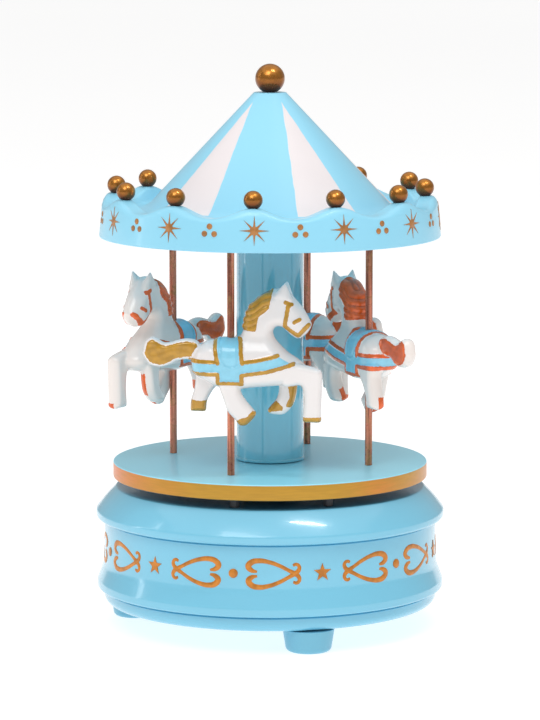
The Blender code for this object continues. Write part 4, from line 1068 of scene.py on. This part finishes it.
def horse_masks(places):
    """How far inside each painted area a vertex lies, in millimetres."""
    side = places[:, (0, 2)]
    across = places[:, 1]
    tail = depth_inside(side, smooth_outline(TAIL))
    behind = ease(-places[:, 0], 10.0, 11.5)
    body = depth_inside(side, smooth_outline(BODY))
    tail_fill = np.minimum(tail - TAIL_BORDER, -0.1 - body)
    mane = depth_inside(side, MANE)
    trims = np.maximum.reduce([TRIM_HALF - distance_to_line(side, line) for line in TRIMS])
    bridle = np.maximum(BRIDLE_HALF - distance_to_line(side, BRIDLE),
                        EYE_HALF - distance_to_line(side, EYE))
    bridle = np.where(places[:, 2] > HEAD_FROM, bridle, OUTSIDE)
    on_torso = places[:, 2] > BELLY_FROM
    trims = np.where(on_torso, trims, OUTSIDE)
    hooves = np.full(len(places), OUTSIDE)
    for sign, outlines in HOOVES.items():
        beside = across < -2.6 if sign < 0 else (across > 0.5) & (across < 3.6)
        for outline in outlines:
            hooves = np.maximum(hooves, np.where(beside, depth_inside(side, outline), OUTSIDE))
    hooves = np.where(places[:, 2] < LEGS_TO, hooves, OUTSIDE)
    cloth = np.where(on_torso, depth_inside(side, CLOTH), OUTSIDE)
    flap = depth_inside(side, FLAP)
    return {"tail": tail_fill, "mane": mane, "trims": trims, "bridle": bridle, "hooves": hooves,
            "cloth": cloth, "flap": flap, "behind": behind}


def mane_ridges(places):
    """Wavy locks that run across the crest of the neck."""
    phase = places[:, 2] * 0.86 - places[:, 0] * 0.50 + 0.25 * np.sin(places[:, 0] * 1.1)
    return np.abs(np.cos(0.5 * FULL_TURN * phase / 1.45))


def tail_ridges(places):
    """Long strands down the tail."""
    sweep = places[:, 2] + 0.9 * np.sin((places[:, 0] + 12) * 0.42)
    return 0.5 + 0.5 * np.cos(FULL_TURN * sweep / 2.1)


def store(piece, name, values):
    layer = piece.data.attributes.new(name, "FLOAT", "POINT")
    layer.data.foreach_set("value", np.asarray(values, dtype=np.float32))


def detail_horse(horse):
    """Raise the saddle cloth, trims, mane and tail, and store where each paint and the painted shade
    of the mane's grooves go.
    """
    places = coordinates(horse)
    masks = horse_masks(places)
    ridges = mane_ridges(places)
    strands = tail_ridges(places)
    seam = 0.36 - np.abs(masks["flap"] - SEAM_INSET)
    lift = CLOTH_RISE * ease(masks["cloth"], -0.1, 0.25)
    lift += FLAP_RISE * ease(masks["flap"], -0.1, 0.15) * ease(masks["cloth"], -0.1, 0.2)
    lift -= SEAM_DEPTH * ease(seam, 0.0, 0.2) * ease(masks["cloth"], 0, 0.2)
    lift += TRIM_RISE * ease(masks["trims"], -0.1, 0.2)
    lift += BRIDLE_RISE * ease(masks["bridle"], -0.1, 0.2)
    lift += ease(masks["mane"], -0.1, 0.4) * (MANE_RISE + LOCK_RISE * ridges)
    sunk = TAIL_DEPTH - STRAND_RISE * strands
    lift -= masks["behind"] * ease(masks["tail"], -0.1, 0.25) * sunk
    normals = np.empty(len(places) * 3)
    horse.data.vertices.foreach_get("normal", normals)
    place_vertices(horse, places + normals.reshape(-1, 3) * lift[:, None])
    trim = np.maximum.reduce([masks["tail"], masks["mane"], masks["trims"], masks["bridle"],
                              masks["hooves"]])
    # Painted shade: how deep each vertex lies in a groove between the mane's locks.
    mane_groove_shades = np.where(masks["mane"] > 0, 0.30 - ridges, -1)
    store(horse, "trim_paint", trim * MM)
    store(horse, "blue_paint", masks["cloth"] * MM)
    store(horse, "mane_groove_shade", mane_groove_shades * MM)


# Degrees that each horse turns off its direction of travel.
HEADINGS = (15.3, 48.5, -7.0, -12.8)
HORSE_LIFT = 14.8 * MM


class MUSICBOX_OT_horses(bpy.types.Operator):
    """Model one horse, then copy it to each pole at its own heading"""
    bl_idname = "music_box.horses"
    bl_label = "Horses"

    def execute(self, context):
        sizes, colours = settings(context)
        horse = horse_skin_shape(sizes.horse_skin)
        detail_horse(horse)
        smooth_skin(horse, 0.3, 1)
        gold = horse_finish("gold_trimmed_horse", colours.horse, colours.saddle, colours.gold)
        # Painted reflection: the other horses get their gold trim in orange for the reflection it
        # shows.
        orange_reflection_gold = horse_finish("orange_reflection_trimmed_horse", colours.cream, colours.saddle,
                              colours.orange_reflection_gold)
        level = TABLE_HIGH.z + HORSE_LIFT
        for index, turn in enumerate(HEADINGS, start=1):
            low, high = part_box(f"pole_{index}")
            pole = (low + high) / 2
            tangent = math.atan2(pole.x, -pole.y)
            pick(horse)
            bpy.ops.object.duplicate(linked=False)
            copy = bpy.context.object
            copy.matrix_world = Matrix.Translation((pole.x, pole.y, level)) @ Matrix.Rotation(
                tangent + math.radians(turn), 4, "Z")
            finish_piece(copy, f"horse_body_{index}", "carousel", "horse",
                         gold if index == 1 else orange_reflection_gold, f"horse_{index}", smooth=60)
        bpy.data.objects.remove(horse)
        return {"FINISHED"}


# ---------------------------------------------------------------- movement and underside
class MUSICBOX_OT_movement(bpy.types.Operator):
    """Give the movement, the screws and the plain plates their finishes"""
    bl_idname = "music_box.movement"
    bl_label = "Movement"

    def execute(self, context):
        colours = settings(context)[1]
        finishes = {
            "steel": bare_metal("nickel_steel", (0.56, 0.57, 0.59), 0.30, (1, 1, 8)),
            "brass": bare_metal("stamped_brass", (0.70, 0.49, 0.19), 0.28, (8, 1, 1)),
            "cast_zinc": bare_metal("cast_zinc", (0.40, 0.41, 0.43), 0.50),
            "spring_steel": bare_metal("blued_spring", (0.16, 0.19, 0.27), 0.28, (1, 1, 10)),
            "glide_pad": dull_plastic("dark_pad", (0.03, 0.03, 0.035), 0.45),
            "base_plate": dull_plastic("plate_plastic", colours.shell, 0.48),
            "canopy_ceiling": dull_plastic("ceiling_plastic", colours.canopy, 0.40),
        }
        for row in frame["record"]["subparts"]:
            finish = finishes.get(row["material_slot"])
            node = bpy.data.objects.get(row["node"])
            if finish is None or node is None:
                continue
            node.data.materials.clear()
            node.data.materials.append(finish.material)
        return {"FINISHED"}


# ---------------------------------------------------------------- stage
def area_light(name, place, target, size, energy, tall=None, roll=0.0):
    put_down()
    bpy.ops.object.light_add(type="AREA", location=place)
    lamp = bpy.context.object
    lamp.name = name
    lamp.data.size = size
    if tall:
        lamp.data.shape = "ELLIPSE"
        lamp.data.size_y = tall
    lamp.data.energy = energy
    lamp.rotation_euler = (Vector(target) - Vector(place)).to_track_quat("-Z", "Y").to_euler()
    lamp.rotation_euler.rotate_axis("Z", math.radians(roll))
    return lamp


class MUSICBOX_OT_stage(bpy.types.Operator):
    """Lay the pale floor, and set the soft lights and the camera"""
    bl_idname = "music_box.stage"
    bl_label = "Stage"

    def execute(self, context):
        put_down()
        bpy.ops.mesh.primitive_plane_add(size=30, location=(0, 8, 0))
        floor = bpy.context.object
        floor.name = "floor"
        finish = Finish("pale_floor", 0.65)
        cloud = finish.ramp(finish.noise(0.6, 2.0), 0.3, 0.7)
        finish.colour(finish.mix(cloud, (0.46, 0.46, 0.46), (0.48, 0.48, 0.48)))
        finish.shader.inputs["Emission Color"].default_value = (1, 1, 1, 1)
        finish.shader.inputs["Emission Strength"].default_value = 0.74
        floor.data.materials.append(finish.material)
        world = bpy.data.worlds.new("studio")
        world.use_nodes = True
        world.node_tree.nodes["Background"].inputs["Color"].default_value = (1.0, 0.99, 0.98, 1)
        world.node_tree.nodes["Background"].inputs["Strength"].default_value = 0.40
        context.scene.world = world
        area_light("overhead", (0.0, -0.2, 1.30), (0, -0.1, 0.0), 2.4, 9.0)
        area_light("key", (-0.45, -1.15, 1.45), (0, 0, 0.08), 0.9, 9.0)
        area_light("sparkle", (0.268, -0.25, 0.88), (0.011, -0.049, 0.0385), 0.30, 1.3, tall=0.05,
                   roll=-52)
        area_light("left_strip", (-0.9, 0.1, 0.35), (0, 0, 0.09), 0.08, 0.6, tall=0.9)
        put_down()
        bpy.ops.object.camera_add(location=(0, -1.100, 0.2294),
                                  rotation=(math.pi / 2 - 0.13476, 0, 0))
        camera = bpy.context.object
        camera.data.lens = 184.4
        camera.data.sensor_width = 36
        camera.data.clip_end = 60
        context.scene.camera = camera
        context.scene.view_settings.view_transform = "Standard"
        return {"FINISHED"}


# ---------------------------------------------------------------- panel and registration
OPERATORS = (
    MUSICBOX_OT_stage, MUSICBOX_OT_base, MUSICBOX_OT_base_ornament, MUSICBOX_OT_feet,
    MUSICBOX_OT_turntable, MUSICBOX_OT_column_and_poles, MUSICBOX_OT_canopy,
    MUSICBOX_OT_canopy_ornament, MUSICBOX_OT_balls, MUSICBOX_OT_horses, MUSICBOX_OT_movement,
)


class MUSICBOX_PT_panel(bpy.types.Panel):
    """Lists the pieces of the music box"""
    bl_label = "Music Box"
    bl_idname = "MUSICBOX_PT_panel"
    bl_space_type = "VIEW_3D"
    bl_region_type = "UI"
    bl_category = "Music Box"

    def draw(self, context):
        column = self.layout.column(align=True)
        for operator in OPERATORS:
            column.operator(operator.bl_idname)
        for group in (context.scene.music_box_sizes, context.scene.music_box_colours):
            box = self.layout.box()
            for name in group.bl_rna.properties.keys():
                if name not in {"rna_type", "name"}:
                    box.prop(group, name)


CLASSES = (MusicBoxSizes, MusicBoxColours, *OPERATORS, MUSICBOX_PT_panel)


def register():
    for item in CLASSES:
        bpy.utils.register_class(item)
    bpy.types.Scene.music_box_sizes = PointerProperty(type=MusicBoxSizes)
    bpy.types.Scene.music_box_colours = PointerProperty(type=MusicBoxColours)


def unregister():
    del bpy.types.Scene.music_box_colours
    del bpy.types.Scene.music_box_sizes
    for item in reversed(CLASSES):
        bpy.utils.unregister_class(item)


def main():
    register()
    bpy.ops.music_box.stage()
    bpy.ops.music_box.base()
    bpy.ops.music_box.base_ornament()
    bpy.ops.music_box.feet()
    bpy.ops.music_box.turntable()
    bpy.ops.music_box.column_and_poles()
    bpy.ops.music_box.canopy()
    bpy.ops.music_box.canopy_ornament()
    bpy.ops.music_box.balls()
    bpy.ops.music_box.horses()
    bpy.ops.music_box.movement()
    put_down()


if __name__ == "__main__":
    main()
